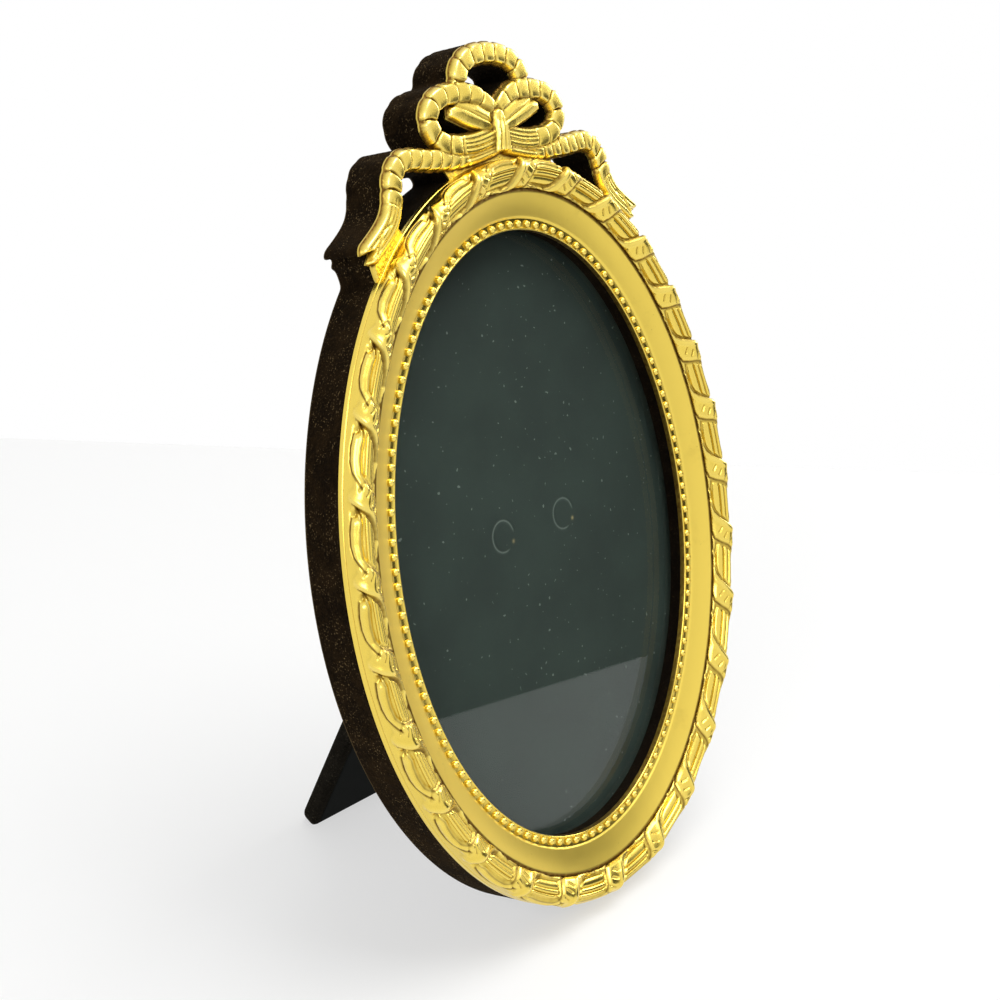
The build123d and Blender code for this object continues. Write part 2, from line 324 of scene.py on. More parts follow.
class Piece:
    """A piece in the making: closed shells in the flat frame, with values kept on their points."""

    def __init__(self, *value_names: str) -> None:
        """Start an empty piece.

        Args:
            value_names: names of the values that its points carry for the finish.
        """
        self.points: list[Array] = []
        self.faces: Faces = []
        self.values: dict[str, list[Array]] = {name: [] for name in value_names}
        self.count = 0

    def add(self, points: Array, faces: Sequence[Sequence[int]], **values: Array) -> None:
        """Add one closed shell, turned so that its faces look outwards.

        Args:
            points: places in millimetres.
            faces: corner numbers of each face.
            values: a value for each point, by name.
        """
        points = np.asarray(points, float)
        fans = [(face[0], b, c) for face in faces for b, c in zip(face[1:-1], face[2:])]
        a, b, c = (points[list(corner)] for corner in zip(*fans))
        volume = float((a * np.cross(b, c)).sum())
        step = 1 if volume >= 0 else -1
        self.faces += [[corner + self.count for corner in face[::step]] for face in faces]
        self.points.append(points)
        self.count += len(points)
        for name, kept in self.values.items():
            kept.append(np.broadcast_to(values.get(name, 0.0), (len(points),)))

    def make(self, name: str, stance: "Stance | LegStance", slot: Slot, finish: Material,
             replaces: str, crease: float | None = 50.0,
             body: Body = Body.FRAME) -> bpy.types.Object:
        """Turn the shells into one object that rides on a body.

        Args:
            name: the object's name.
            stance: how its body stands.
            slot: the record's material slot; not used.
            finish: its material.
            replaces: the node that it stands for.
            crease: the angle above which an edge stays sharp, in degrees.
            body: what it moves with.

        Returns:
            The new object.
        """
        mesh = bpy.data.meshes.new(name)
        mesh.from_pydata(stance.place(np.concatenate(self.points)).tolist(), [], self.faces)
        mesh.update()
        for value_name, kept in self.values.items():
            layer = mesh.attributes.new(value_name, "FLOAT", "POINT")
            layer.data.foreach_set("value", np.concatenate(kept).astype(np.float32))
        mesh.shade_smooth()
        if crease is not None:
            mesh.set_sharp_from_angle(angle=math.radians(crease))
        mesh.materials.append(finish)
        made = bpy.data.objects.new(name, mesh)
        bpy.context.scene.collection.objects.link(made)
        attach(made, body.value)
        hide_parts(replaces)
        return made


def ring_faces(columns: int, rows: int) -> Faces:
    """Join a ring that is closed both ways.

    Args:
        columns: how many times its section is drawn.
        rows: how many points a section has.

    Returns:
        Its faces, with the points counted down each column.
    """
    faces = []
    for column in range(columns):
        here, beyond = column * rows, (column + 1) % columns * rows
        for row in range(rows):
            below = (row + 1) % rows
            faces.append([here + row, beyond + row, beyond + below, here + below])
    return faces


def oval_ring(oval: Oval, section: Line, columns: int) -> tuple[Array, Faces]:
    """A ring round an oval with the same closed section everywhere.

    Args:
        oval: the line that the section's offsets are counted from.
        section: offsets and heights, once round the section.
        columns: how many times the section is drawn.

    Returns:
        The points and the faces.
    """
    turns = oval.even_turns(columns)
    offsets, heights = np.array(section).T
    u = (oval.half_width + offsets[None, :]) * np.cos(turns)[:, None]
    v = (oval.half_height + offsets[None, :]) * np.sin(turns)[:, None]
    w = np.broadcast_to(heights[None, :], u.shape)
    return np.stack([u, v, w], axis=-1).reshape(-1, 3), ring_faces(columns, len(section))


class FlatCut:
    """A flat outline cut from a grid by its distance field, with its edge on the true line."""

    def __init__(self, across: Array, up: Array, distance: Callable[[Array, Array], Array]) -> None:
        """Cut the outline.

        Args:
            across: grid lines across.
            up: grid lines up.
            distance: gives the distance outside the outline, negative inside.
        """
        self.distance = distance
        u, v = (grid.ravel() for grid in np.meshgrid(across, up, indexing="ij"))
        u, v = u.copy(), v.copy()
        spacing = min(np.diff(across).min(), np.diff(up).min())
        field_value = distance(u, v)
        near = np.abs(field_value) < 0.38 * spacing
        u[near], v[near] = self.snapped(u[near], v[near])
        field_value[near] = 0.0
        self.points = [u, v]
        self.faces: Faces = []
        self._cut_cells(len(across), len(up), field_value)
        self._keep_used()
        self.loops = self._boundary()

    def snapped(self, u: Array, v: Array) -> tuple[Array, Array]:
        """Move places on to the outline, along its slope.

        Args:
            u: places across.
            v: places up.

        Returns:
            The new places.
        """
        reach = 1e-3
        for _ in range(3):
            value = self.distance(u, v)
            slope_u = (self.distance(u + reach, v) - self.distance(u - reach, v)) / (2 * reach)
            slope_v = (self.distance(u, v + reach) - self.distance(u, v - reach)) / (2 * reach)
            steep = np.maximum(slope_u ** 2 + slope_v ** 2, 0.25)
            u, v = u - value * slope_u / steep, v - value * slope_v / steep
        return u, v

    def _cut_cells(self, columns: int, rows: int, value: Array) -> None:
        """Keep whole cells, and cut those that the outline crosses.

        Args:
            columns: grid lines across.
            rows: grid lines up.
            value: the distance at each point of the grid.
        """
        index = np.arange(columns * rows).reshape(columns, rows)
        corners = [index[:-1, :-1], index[1:, :-1], index[1:, 1:], index[:-1, 1:]]
        corners = np.stack(corners, axis=-1).reshape(-1, 4)
        held = value[corners]
        some = (held < 0).any(axis=1)
        whole = some & (held <= 0).all(axis=1)
        self.faces = corners[whole].tolist()
        cut_edges: dict[tuple[int, int], int] = {}
        start, ends = columns * rows, []
        for cell in corners[some & ~whole].tolist():
            outline = []
            for here, after in zip(cell, cell[1:] + cell[:1]):
                if value[here] <= 0:
                    outline.append(here)
                if value[here] * value[after] < 0:
                    key = (min(here, after), max(here, after))
                    if key not in cut_edges:
                        cut_edges[key] = start + len(ends)
                        ends.append(key)
                    outline.append(cut_edges[key])
            if len(outline) > 2:
                self.faces.append(outline)
        if ends:
            a, b = np.array(ends).T
            share = value[a] / (value[a] - value[b])
            u, v = self.points
            cut_u, cut_v = u[a] + share * (u[b] - u[a]), v[a] + share * (v[b] - v[a])
            cut_u, cut_v = self.snapped(cut_u, cut_v)
            self.points = [np.concatenate([u, cut_u]), np.concatenate([v, cut_v])]

    def _keep_used(self) -> None:
        """Drop the points that no face uses."""
        used = np.unique(np.concatenate([np.array(face) for face in self.faces]))
        number = np.full(len(self.points[0]), -1)
        number[used] = np.arange(len(used))
        self.faces = [number[face].tolist() for face in self.faces]
        self.u, self.v = (axis[used] for axis in self.points)

    def _boundary(self) -> Faces:
        """Follow the outline and its holes.

        Returns:
            The points of each closed line, in order.
        """
        sides = {(a, b) for face in self.faces for a, b in zip(face, face[1:] + face[:1])}
        after: dict[int, list[int]] = {}
        for a, b in sides:
            if (b, a) not in sides:
                after.setdefault(a, []).append(b)
        for followers in after.values():
            followers.sort()
        loops = []
        for start in sorted(after):
            while after[start]:
                loop, here = [start], after[start].pop()
                while here != start:
                    loop.append(here)
                    here = after[here].pop()
                loops.append(loop)
        return loops

    def shell(self, top: Array | float, bottom: Array | float,
              wall_rows: int = 1) -> tuple[Array, Faces]:
        """The closed solid between two heights.

        Args:
            top: height of the points above.
            bottom: height of the points below.
            wall_rows: how many rows of faces a wall has.

        Returns:
            The points, top first and then bottom, and the faces.
        """
        count = len(self.u)
        top, bottom = np.broadcast_to(top, count), np.broadcast_to(bottom, count)
        flat = np.stack([self.u, self.v], axis=1)
        points = [np.column_stack([flat, top]), np.column_stack([flat, bottom])]
        faces = [list(face) for face in self.faces]
        faces += [[corner + count for corner in face[::-1]] for face in self.faces]
        total = 2 * count
        for loop in self.loops:
            rows = [list(loop)]
            for row in range(1, wall_rows):
                share = row / wall_rows
                height = top[loop] * (1 - share) + bottom[loop] * share
                points.append(np.column_stack([flat[loop], height]))
                rows.append(list(range(total, total + len(loop))))
                total += len(loop)
            rows.append([corner + count for corner in loop])
            size = len(loop)
            for upper, lower in zip(rows, rows[1:]):
                for i in range(size):
                    j = (i + 1) % size
                    faces.append([upper[j], upper[i], lower[i], lower[j]])
        return np.concatenate(points), faces


class Socket:
    """One output of a shader node, which sums on values act on."""

    def __init__(self, nodes: "Nodes", link: bpy.types.NodeSocket) -> None:
        """Keep the output and the nodes that it belongs to."""
        self.nodes, self.link = nodes, link

    def math(self, operation: str, *values: "Socket | float", clamp: bool = False) -> "Socket":
        """What a Math node makes of some values, held between 0 and 1 if clamp is set."""
        settings = {"operation": operation, "use_clamp": clamp}
        return self.nodes.node("ShaderNodeMath", settings, list(values))

    def __add__(self, other: "Socket | float") -> "Socket":
        """This value plus another."""
        return self.math("ADD", self, other)

    def __sub__(self, other: "Socket | float") -> "Socket":
        """This value less another."""
        return self.math("SUBTRACT", self, other)

    def __rsub__(self, other: float) -> "Socket":
        """A number less this value."""
        return self.math("SUBTRACT", other, self)

    def __mul__(self, other: "Socket | float") -> "Socket":
        """This value times another."""
        return self.math("MULTIPLY", self, other)

    __radd__ = __add__
    __rmul__ = __mul__

    def clamped(self) -> "Socket":
        """This value held between 0 and 1."""
        return self.math("ADD", self, 0.0, clamp=True)

    def step(self, low: float, high: float) -> "Socket":
        """A smooth 0 to 1 as this value goes from low to high."""
        values = {"Value": self, "From Min": low, "From Max": high}
        return self.nodes.node("ShaderNodeMapRange", {"interpolation_type": "SMOOTHSTEP"}, values)


class Nodes:
    """A tree of shader nodes in the making, for a material or for the surround."""

    def __init__(self, tree: bpy.types.NodeTree, output: str) -> None:
        """Empty a tree, all but its output.

        Args:
            tree: the tree.
            output: the type of its output node.
        """
        self.tree = tree
        self.tree.nodes.clear()
        self.output = self.tree.nodes.new(output)

    def node(self, kind: str, settings: dict | None = None, values: dict | list | None = None,
             out: str | int = 0) -> Socket:
        """Add a node: its settings come first, then the values or links of its sockets.

        Args:
            kind: the node's type.
            settings: its own settings, by name.
            values: what goes into its sockets, by name or in order.
            out: the output to give back.

        Returns:
            That output.
        """
        node = self.tree.nodes.new(kind)
        for key, value in (settings or {}).items():
            setattr(node, key, value)
        pairs = enumerate(values) if isinstance(values, list) else (values or {}).items()
        for key, value in pairs:
            if isinstance(value, Socket):
                self.tree.links.new(value.link, node.inputs[key])
            else:
                node.inputs[key].default_value = value
        return Socket(self, node.outputs[out])

    def end_in(self, closure: Socket) -> None:
        """Let the output show a closure."""
        self.tree.links.new(closure.link, self.output.inputs["Surface"])

    def ray(self, kind: str) -> Socket:
        """Whether a ray is of a kind, as 1 or 0."""
        return self.node("ShaderNodeLightPath", out=f"Is {kind} Ray")


class Shader(Nodes):
    """A material in the making."""

    MIX_SOCKETS = (0, 6, 7)
    MIX_OUTPUT = 2

    def __init__(self, name: str) -> None:
        """Start a material with nothing but its output.

        Args:
            name: the material's name.
        """
        self.material = bpy.data.materials.new(name)
        self.material.use_nodes = True
        super().__init__(self.material.node_tree, "ShaderNodeOutputMaterial")

    def finished(self, closure: Socket) -> Material:
        """The material, once it shows a closure."""
        self.end_in(closure)
        return self.material

    def place(self, stretch: Triple = (1.0, 1.0, 1.0)) -> Socket:
        """Places on the piece in millimetres.

        Args:
            stretch: how much each axis is stretched.

        Returns:
            The places.
        """
        where = self.node("ShaderNodeTexCoord", out="Object")
        scale = tuple(value / MM for value in stretch)
        return self.node("ShaderNodeVectorMath", {"operation": "MULTIPLY"}, [where, scale])

    def noise(self, where: Socket, grain: float, detail: float = 3.0,
              roughness: float = 0.5) -> Socket:
        """Noise from 0 to 1, in clouds of grain millimetres with some finer layers."""
        values = {"Vector": where, "Scale": 1.0 / grain, "Detail": detail, "Roughness": roughness}
        return self.node("ShaderNodeTexNoise", {}, values)

    def value(self, name: str) -> Socket:
        """A value that the points of the mesh carry."""
        return self.node("ShaderNodeAttribute", {"attribute_name": name}, out="Fac")

    def mixed(self, factor: Socket | float, first: Socket | Colour,
              second: Socket | Colour) -> Socket:
        """Mix two colours.

        Args:
            factor: the share of the second colour.
            first: a colour.
            second: another.

        Returns:
            The mixed colour.
        """
        values = {self.MIX_SOCKETS[0]: factor}
        for socket, colour in zip(self.MIX_SOCKETS[1:], (first, second)):
            values[socket] = colour if isinstance(colour, Socket) else (*colour, 1.0)
        return self.node("ShaderNodeMix", {"data_type": "RGBA"}, values, self.MIX_OUTPUT)

    def bump(self, height: Socket, distance: float, strength: float = 1.0,
             normal: Socket | None = None) -> Socket:
        """Bump the surface.

        Args:
            height: how high the surface is.
            distance: the height that 1 stands for, in millimetres.
            strength: how much of it is shown.
            normal: a bump that this one is added to.

        Returns:
            The bumped normal.
        """
        values = {"Height": height, "Distance": distance * MM, "Strength": strength}
        if normal is not None:
            values["Normal"] = normal
        return self.node("ShaderNodeBump", {}, values)

    def surface(self, **values: "Socket | float | tuple") -> Material:
        """Give the material its surface.

        Args:
            values: what goes into each socket, with underscores for the spaces in its name.

        Returns:
            The material.
        """
        named = {}
        for key, value in values.items():
            colour = isinstance(value, tuple)
            named[key.replace("_", " ")] = (*value, 1.0) if colour else value
        return self.finished(self.node("ShaderNodeBsdfPrincipled", {}, named))


@dataclass(frozen=True)
class Gilt:
    """Thin stamped gilt brass, darker and duller with tarnish in recesses and painted shade in
    creases.
    """

    name: str
    colour: Colour = (0.86, 0.645, 0.115)
    pale: Colour = (0.95, 0.79, 0.24)
    stain_and_shade: Colour = (0.115, 0.055, 0.010)
    rubbed: float = 0.7
    roughness: float = 0.17
    satin_roughness: float = 0.20
    stain_roughness: float = 0.26
    patch_roughness: float = 0.10
    speck_roughness: float = 0.07
    patch_grain: float = 9.0
    patch_edge: Pair = (0.58, 0.78)
    patch_stain: float = 0.10
    speck_grain: float = 0.9
    recess_stain_and_shade: Pair = (0.50, 0.7)
    dirt_grain: float = 0.55
    dirt_edge: Pair = (0.70, 0.76)
    dirt_places: Pair = (0.5, 0.7)
    dirt_stain: float = 0.5
    grain: float = 0.35
    grain_depth: float = 0.010
    dent_grain: float = 2.6
    dent_depth: Pair = (0.05, 0.6)

    def material(self) -> Material:
        """Build the finish.

        Returns:
            The material.
        """
        made = Shader(self.name)
        where = made.place()
        patches = made.noise(where, self.patch_grain, 4.0, 0.6)
        specks = made.noise(where, self.speck_grain, 4.0, 0.7)
        fine = made.noise(where, self.grain, 2.0, 0.6)
        dirt = made.noise(where, self.dirt_grain, 2.0, 0.6).step(*self.dirt_edge)
        dirt = dirt * patches.step(*self.dirt_places)
        # The recess value darkens the brass: tarnish in hollows, plus painted shade along creases,
        # overlaps and the foot of the roll.
        least, more = self.recess_stain_and_shade
        stain_and_shade_amount = made.value("recess") * (least + specks * more)
        stain_and_shade_amount = stain_and_shade_amount + patches.step(*self.patch_edge) * self.patch_stain
        stain_and_shade_amount = (stain_and_shade_amount + dirt * self.dirt_stain).clamped()
        colour = made.mixed(made.value("rub") * self.rubbed, self.colour, self.pale)
        colour = made.mixed(stain_and_shade_amount, colour, self.stain_and_shade)
        roughness = self.roughness + made.value("satin") * self.satin_roughness
        roughness = roughness + stain_and_shade_amount * self.stain_roughness
        roughness = roughness + (patches - 0.5) * self.patch_roughness
        roughness = roughness + (specks - 0.5) * self.speck_roughness
        normal = made.bump(made.noise(where, self.dent_grain, 2.0, 0.5), *self.dent_depth)
        normal = made.bump(fine, self.grain_depth, 1.0, normal)
        return made.surface(Base_Color=colour, Metallic=1.0, Roughness=roughness, Normal=normal)


@dataclass(frozen=True)
class Velvet:
    """Short flocked velvet, with lint caught in it."""

    name: str
    deep: Colour
    tip: Colour
    lint: Colour = (0.20, 0.14, 0.065)
    lint_share: float = 0.6
    cut_lint: float = 0.75
    pile_grain: float = 0.34
    pile_depth: float = 0.22
    tuft_grain: float = 0.8
    tuft_depth: Pair = (0.30, 0.9)
    crushed_grain: float = 5.0
    sheen: Colour = (0.60, 0.40, 0.15)

    def material(self) -> Material:
        """Build the finish.

        Returns:
            The material.
        """
        made = Shader(self.name)
        where = made.place()
        pile = made.noise(where, self.pile_grain, 3.0, 0.75)
        tufts = made.noise(where, self.tuft_grain, 3.0, 0.7)
        shade = made.noise(where, self.crushed_grain, 4.0, 0.6).step(0.38, 0.68) * 0.45
        shade = shade + tufts.step(0.42, 0.70) * 0.35 + pile.step(0.45, 0.75) * 0.4
        colour = made.mixed(shade.clamped(), self.deep, self.tip)
        flecks = made.noise(where, self.pile_grain, 1.0, 0.5).step(0.62, 0.70)
        flecks = flecks * made.noise(where, 4.0, 2.0).step(0.36, 0.60)
        lint = (flecks * self.lint_share + made.value("cut_edge") * self.cut_lint).clamped()
        colour = made.mixed(lint, colour, self.lint)
        normal = made.bump(tufts, *self.tuft_depth)
        normal = made.bump(pile, self.pile_depth, 1.0, normal)
        return made.surface(Base_Color=colour, Roughness=0.97, Normal=normal,
                            Specular_IOR_Level=0.04, Sheen_Weight=0.03, Sheen_Roughness=0.5,
                            Sheen_Tint=self.sheen)


@dataclass(frozen=True)
class DarkCard:
    """Smooth green-black card with dust specks, painted highlights on the rivet rings, and two
    chips where the rivets press.
    """

    name: str = "dark_card"
    colour: Colour = (0.0145, 0.021, 0.0175)
    dust_and_highlight: Colour = (0.20, 0.22, 0.20)
    chip: Colour = (0.30, 0.22, 0.10)
    paler: float = 1.35
    dust_and_highlight_share: float = 0.5

    def material(self) -> Material:
        """Build the finish.

        Returns:
            The material.
        """
        made = Shader(self.name)
        where = made.place()
        cloud = made.noise(where, 14.0, 3.0, 0.5)
        pale = tuple(value * self.paler for value in self.colour)
        colour = made.mixed(cloud.step(0.3, 0.7), self.colour, pale)
        # Dust specks, then the painted highlight along the rings of the rivet marks, in the same
        # pale colour.
        for dust_and_highlight in (made.noise(where, 0.8, 0.0).step(0.80, 0.84), made.value("scuff")):
            colour = made.mixed(dust_and_highlight * self.dust_and_highlight_share, colour, self.dust_and_highlight)
        colour = made.mixed(made.value("chip"), colour, self.chip)
        normal = made.bump(made.noise(where, 0.6, 2.0), 0.008, 0.4)
        return made.surface(Base_Color=colour, Roughness=0.62 + cloud * 0.12, Normal=normal,
                            Specular_IOR_Level=0.25)


@dataclass(frozen=True)
class PaneGlass:
    """Clear flat glass that lets the light of the studio on to the card behind it."""

    name: str = "pane_glass"
    tint: Colour = (0.93, 0.97, 0.95)
    ior: float = 1.27

    def material(self) -> Material:
        """Build the finish.

        Returns:
            The material.
        """
        made = Shader(self.name)
        glass = made.node("ShaderNodeBsdfPrincipled", {}, {
            "Base Color": (*self.tint, 1.0), "Roughness": 0.0, "IOR": self.ior,
            "Transmission Weight": 1.0})
        clear = made.node("ShaderNodeBsdfTransparent", {}, {"Color": (*self.tint, 1.0)})
        shadow = made.ray("Shadow")
        return made.finished(made.node("ShaderNodeMixShader", {}, [shadow, glass, clear]))


@dataclass(frozen=True)
class Plain:
    """A finish of one colour with grain, for wood, board, lining cloth and sheet metal."""

    name: str
    colour: Colour
    second: Colour
    roughness: float
    metal: float = 0.0
    grain: float = 0.8
    depth: float = 0.02
    stretch: Triple = (1.0, 1.0, 1.0)
    gloss: float = 0.3

    def material(self) -> Material:
        """Build the finish.

        Returns:
            The material.
        """
        made = Shader(self.name)
        where = made.place(self.stretch)
        fine = made.noise(where, self.grain, 4.0, 0.6)
        broad = made.noise(where, self.grain * 9, 3.0, 0.6)
        colour = made.mixed((fine * 0.5 + broad * 0.6).step(0.35, 0.75), self.colour, self.second)
        roughness = self.roughness + (broad - 0.5) * 0.2
        normal = made.bump(fine, self.depth)
        return made.surface(Base_Color=colour, Metallic=self.metal, Roughness=roughness,
                            Specular_IOR_Level=self.gloss, Normal=normal)


@dataclass
class Finishes:
    """Every finish of the frame."""

    gilt: Material = field(default_factory=Gilt("stamped_gilt").material)
    brown_velvet: Material = field(default_factory=Velvet(
        "brown_velvet", (0.0030, 0.0014, 0.0005), (0.021, 0.0115, 0.0040)).material)
    # A darker copy of the brown velvet for the lining of the opening and of the holes: painted
    # shade.
    sight_velvet: Material = field(default_factory=Velvet(
        "sight_velvet", (0.0012, 0.0007, 0.0005), (0.006, 0.0035, 0.002),
        lint_share=0.12).material)
    black_velvet: Material = field(default_factory=Velvet(
        "black_velvet", (0.0025, 0.0025, 0.002), (0.011, 0.010, 0.008),
        lint=(0.12, 0.10, 0.07), lint_share=0.30).material)
    lining: Material = field(default_factory=Plain(
        "leg_lining_cloth", (0.0035, 0.0045, 0.0038), (0.007, 0.008, 0.007), 0.85,
        grain=0.3, gloss=0.05).material)
    card: Material = field(default_factory=DarkCard().material)
    glass: Material = field(default_factory=PaneGlass().material)
    wood: Material = field(default_factory=Plain(
        "sawn_wood", (0.36, 0.22, 0.11), (0.24, 0.13, 0.06), 0.7,
        stretch=(3.0, 1.0, 0.25)).material)
    board: Material = field(default_factory=Plain(
        "grey_brown_board", (0.30, 0.23, 0.15), (0.20, 0.15, 0.10), 0.9).material)
    hinge: Material = field(default_factory=Plain(
        "rolled_hinge_brass", (0.62, 0.43, 0.16), (0.36, 0.23, 0.08), 0.36, 1.0,
        grain=1.2, depth=0.012).material)
    button: Material = field(default_factory=Plain(
        "pressed_button_brass", (0.66, 0.46, 0.17), (0.42, 0.27, 0.09), 0.34, 1.0,
        grain=1.0, depth=0.01).material)


@dataclass
class Border:
    """The oval border of the stamped front: lip, bead trough, satin band and ribbon-wound roll."""

    oval: Oval
    width: float = 13.3
    sheet: float = 0.5
    lip_places: Line = (
        (0.0, -0.7), (0.0, -0.35), (0.0, 0.1), (0.02, 0.34), (0.08, 0.46), (0.16, 0.54),
        (0.30, 0.54), (0.40, 0.48), (0.48, 0.38), (0.58, 0.38), (0.8, 0.35), (1.3, 0.38),
        (1.75, 0.44), (2.05, 0.54), (2.25, 0.58), (2.35, 0.75))
    lip_rows: int = 4
    trough_row: int = 8
    band_row: int = 14
    band_rows: int = 14
    band_end: float = 7.3
    band_end_height: float = 2.85
    band_hollow: float = 0.12
    groove_width: float = 0.2
    motif_share: float = 0.89
    repeats: int = 28
    steps: int = 64
    roll_rows: int = 104
    first_notch_share: float = 0.62
    lag_share: float = 0.5
    roll_places: Line = (
        (7.3, 2.85), (8.1, 3.50), (9.05, 4.18), (10.0, 4.74), (10.9, 5.10), (11.6, 5.12),
        (12.2, 4.72), (12.65, 4.0), (12.98, 3.0), (13.18, 1.9), (13.28, 0.9), (13.3, 0.0))
    under_share: float = 0.62
    waves: Sequence[Triple] = ((0.05, 9, 0.7), (0.04, 23, 2.1))

    # The wound ribbon, drawn on one repeat: a share of the repeat, and a share of the way over
    # the roll. The lap is the edge of the ribbon on top; the arch is the ribbon below it, from
    # under the lap to the next; the window is what lies between them, where the reeds show.
    lap_shares: Line = (
        (0.0, 0.80), (0.05, 0.66), (0.11, 0.50), (0.18, 0.34), (0.25, 0.20), (0.33, 0.10),
        (0.44, 0.045))
    window_end_shares: Line = (
        (0.60, 0.04), (0.74, 0.06), (0.85, 0.09), (0.84, 0.20), (0.79, 0.40), (0.73, 0.55),
        (0.64, 0.65), (0.48, 0.68), (0.33, 0.67), (0.22, 0.645), (0.13, 0.68), (0.07, 0.76))
    arch_shares: Line = (
        (0.10, 0.74), (0.22, 0.66), (0.33, 0.685), (0.48, 0.695), (0.64, 0.66), (0.73, 0.56),
        (0.79, 0.42), (0.84, 0.21), (0.92, 0.03), (1.30, 0.02), (1.16, 0.36), (1.02, 0.78),
        (0.96, 0.93), (0.87, 0.90), (0.80, 0.80), (0.70, 0.80), (0.62, 0.85), (0.50, 0.88),
        (0.34, 0.88), (0.18, 0.84))
    arch_edge_shares: Line = (
        (0.16, 0.84), (0.34, 0.88), (0.50, 0.875), (0.62, 0.82), (0.72, 0.71), (0.82, 0.60))
    arch_foot_shares: Line = ((0.73, 0.55), (0.79, 0.41), (0.84, 0.22), (0.90, 0.06), (1.0, 0.01))

    # Depths and half widths, in millimetres, of what is pressed into the roll.
    window_depth: float = 0.60
    window_slopes: Pair = (0.50, 0.22)
    lap_reach: float = 0.7
    reed_shares: Line = ((0.20, 0.10), (0.37, 0.062), (0.50, 0.055))
    reed_height: float = 0.40
    reed_margin: Pair = (0.20, 0.75)
    ribbon_rise: Pair = (0.26, 0.9)
    lap_rise: float = 0.26
    lap_ridge: Pair = (0.55, 0.75)
    lap_end: Pair = (0.86, 0.9)
    arch_edge_line: Pair = (0.16, 0.20)
    arch_foot_line: Pair = (0.20, 0.20)
    rim_share: float = 0.90
    rim_line: Pair = (0.16, 0.13)
    groove: Pair = (0.4, 0.22)
    stroke_shares: Line = ((0.865, 0.49), (0.955, 0.355), (1.04, 0.225), (0.80, 0.62))
    stroke: Pair = (0.32, 0.17)
    stroke_lean: float = 33.0
    stroke_end: Pair = (0.95, 0.3)
    # Widths and strengths of the painted shade lines round the ribbon and its windows.
    crease_widths: Sequence[float] = (0.19, 0.24, 0.28, 0.20)
    crease_darkness: Sequence[float] = (1.0, 1.0, 1.0, 0.9)

    # Each dimple: its depth, then its share and its half width, along the roll and over it.
    dimples: Sequence[Sequence[float]] = (
        (0.95, 0.105, 0.85, 0.765, 0.62), (0.35, 0.70, 0.5, 0.045, 0.3))

    # What the finish is told: depths that count as fully recessed or rubbed, and fixed values.
    soft_passes: int = 14
    recess_depth: float = 0.50
    rub_height: float = 0.35
    foot_recess: float = 1.1
    trough_recess: float = 0.22
    roll_satin: float = 0.35

    def roll_line(self, count: int) -> Array:
        """Even offsets and heights over the smooth roll, from its foot to the outer edge."""
        fine = curve_through(self.roll_places, 600)
        return drawn_again(fine, np.linspace(0.0, runs_along(fine)[-1], count))

    def roll_run(self) -> float:
        """The length over the roll."""
        return float(np.hypot(*np.diff(self.roll_line(400), axis=0).T).sum())

    def pitch(self) -> float:
        """The length of one repeat, along the middle of the roll."""
        return self.oval.grown((self.band_end + self.width) / 2).length() / self.repeats

    def repeat_grid(self) -> tuple[Array, Array]:
        """One repeat: shares along it and over the roll, by step and row."""
        along, over = np.arange(self.steps) / self.steps, np.linspace(0.0, 1.0, self.roll_rows)
        return np.meshgrid(along, over, indexing="ij")

    def relief(self) -> Array:
        """How far the wound ribbon stands out of the smooth roll, over one repeat.

        Returns:
            Heights in millimetres, by step along the border and row over the roll.
        """
        pitch, run = self.pitch(), self.roll_run()
        s, p = self.repeat_grid()
        total = np.zeros(s.shape)
        for shift in (-1, 0, 1):
            total += self._one_ribbon((s - shift) * pitch, p * run, pitch, self.motif_share * run)
        total -= self.rim_line[0] * bell((p - self.rim_share) * run / self.rim_line[1])
        return total - self.groove[0] * bell(p * run / self.groove[1])

    def _one_ribbon(self, u: Array, v: Array, pitch: float, run: float) -> Array:
        """What one turn of the ribbon adds to the roll.

        Args:
            u: places along the roll, from the top of this turn's lap.
            v: places over the roll, from the groove.
            pitch: the length of a repeat.
            run: the length that the ribbon takes of the way over the roll.

        Returns:
            Heights at those places.
        """
        lap, arch, arch_edge, arch_foot, window_end = (
            [(a * pitch, b * run) for a, b in shares] for shares in (
                self.lap_shares, self.arch_shares, self.arch_edge_shares, self.arch_foot_shares,
                self.window_end_shares))
        inside = inside_distance(u, v, lap + window_end)
        from_lap = line_distance(u, v, lap)
        sharp = bell(from_lap / self.lap_reach)
        gentle_slope, sharp_slope = self.window_slopes
        sunk = smooth_step(inside / (gentle_slope * (1 - sharp) + sharp_slope * sharp))
        total = -self.window_depth * sunk
        margin, margin_slope = self.reed_margin
        shown = smooth_step((inside - margin) / margin_slope)
        for centre, half in self.reed_shares:
            round_top = np.sqrt(np.clip(1 - ((v / run - centre) / half) ** 2, 0.0, 1.0))
            total += self.reed_height * round_top * shown
        outside = 1 - sunk
        rise, rise_slope = self.ribbon_rise
        total += rise * smooth_step(inside_distance(u, v, arch) / rise_slope) * outside
        ridge = bell((from_lap - self.lap_ridge[0]) / self.lap_ridge[1])
        ending = smooth_step((self.lap_end[0] * run - v) / self.lap_end[1])
        total += self.lap_rise * ridge * outside * ending
        for line, (depth, width) in ((arch_edge, self.arch_edge_line),
                                     (arch_foot, self.arch_foot_line)):
            total -= depth * bell(line_distance(u, v, line) / width)
        for depth, along, along_half, over, over_half in self.dimples:
            dimple = bell((u - along * pitch) / along_half) * bell((v - over * run) / over_half)
            total -= depth * dimple
        return total + self._strokes(u, v, pitch, run)

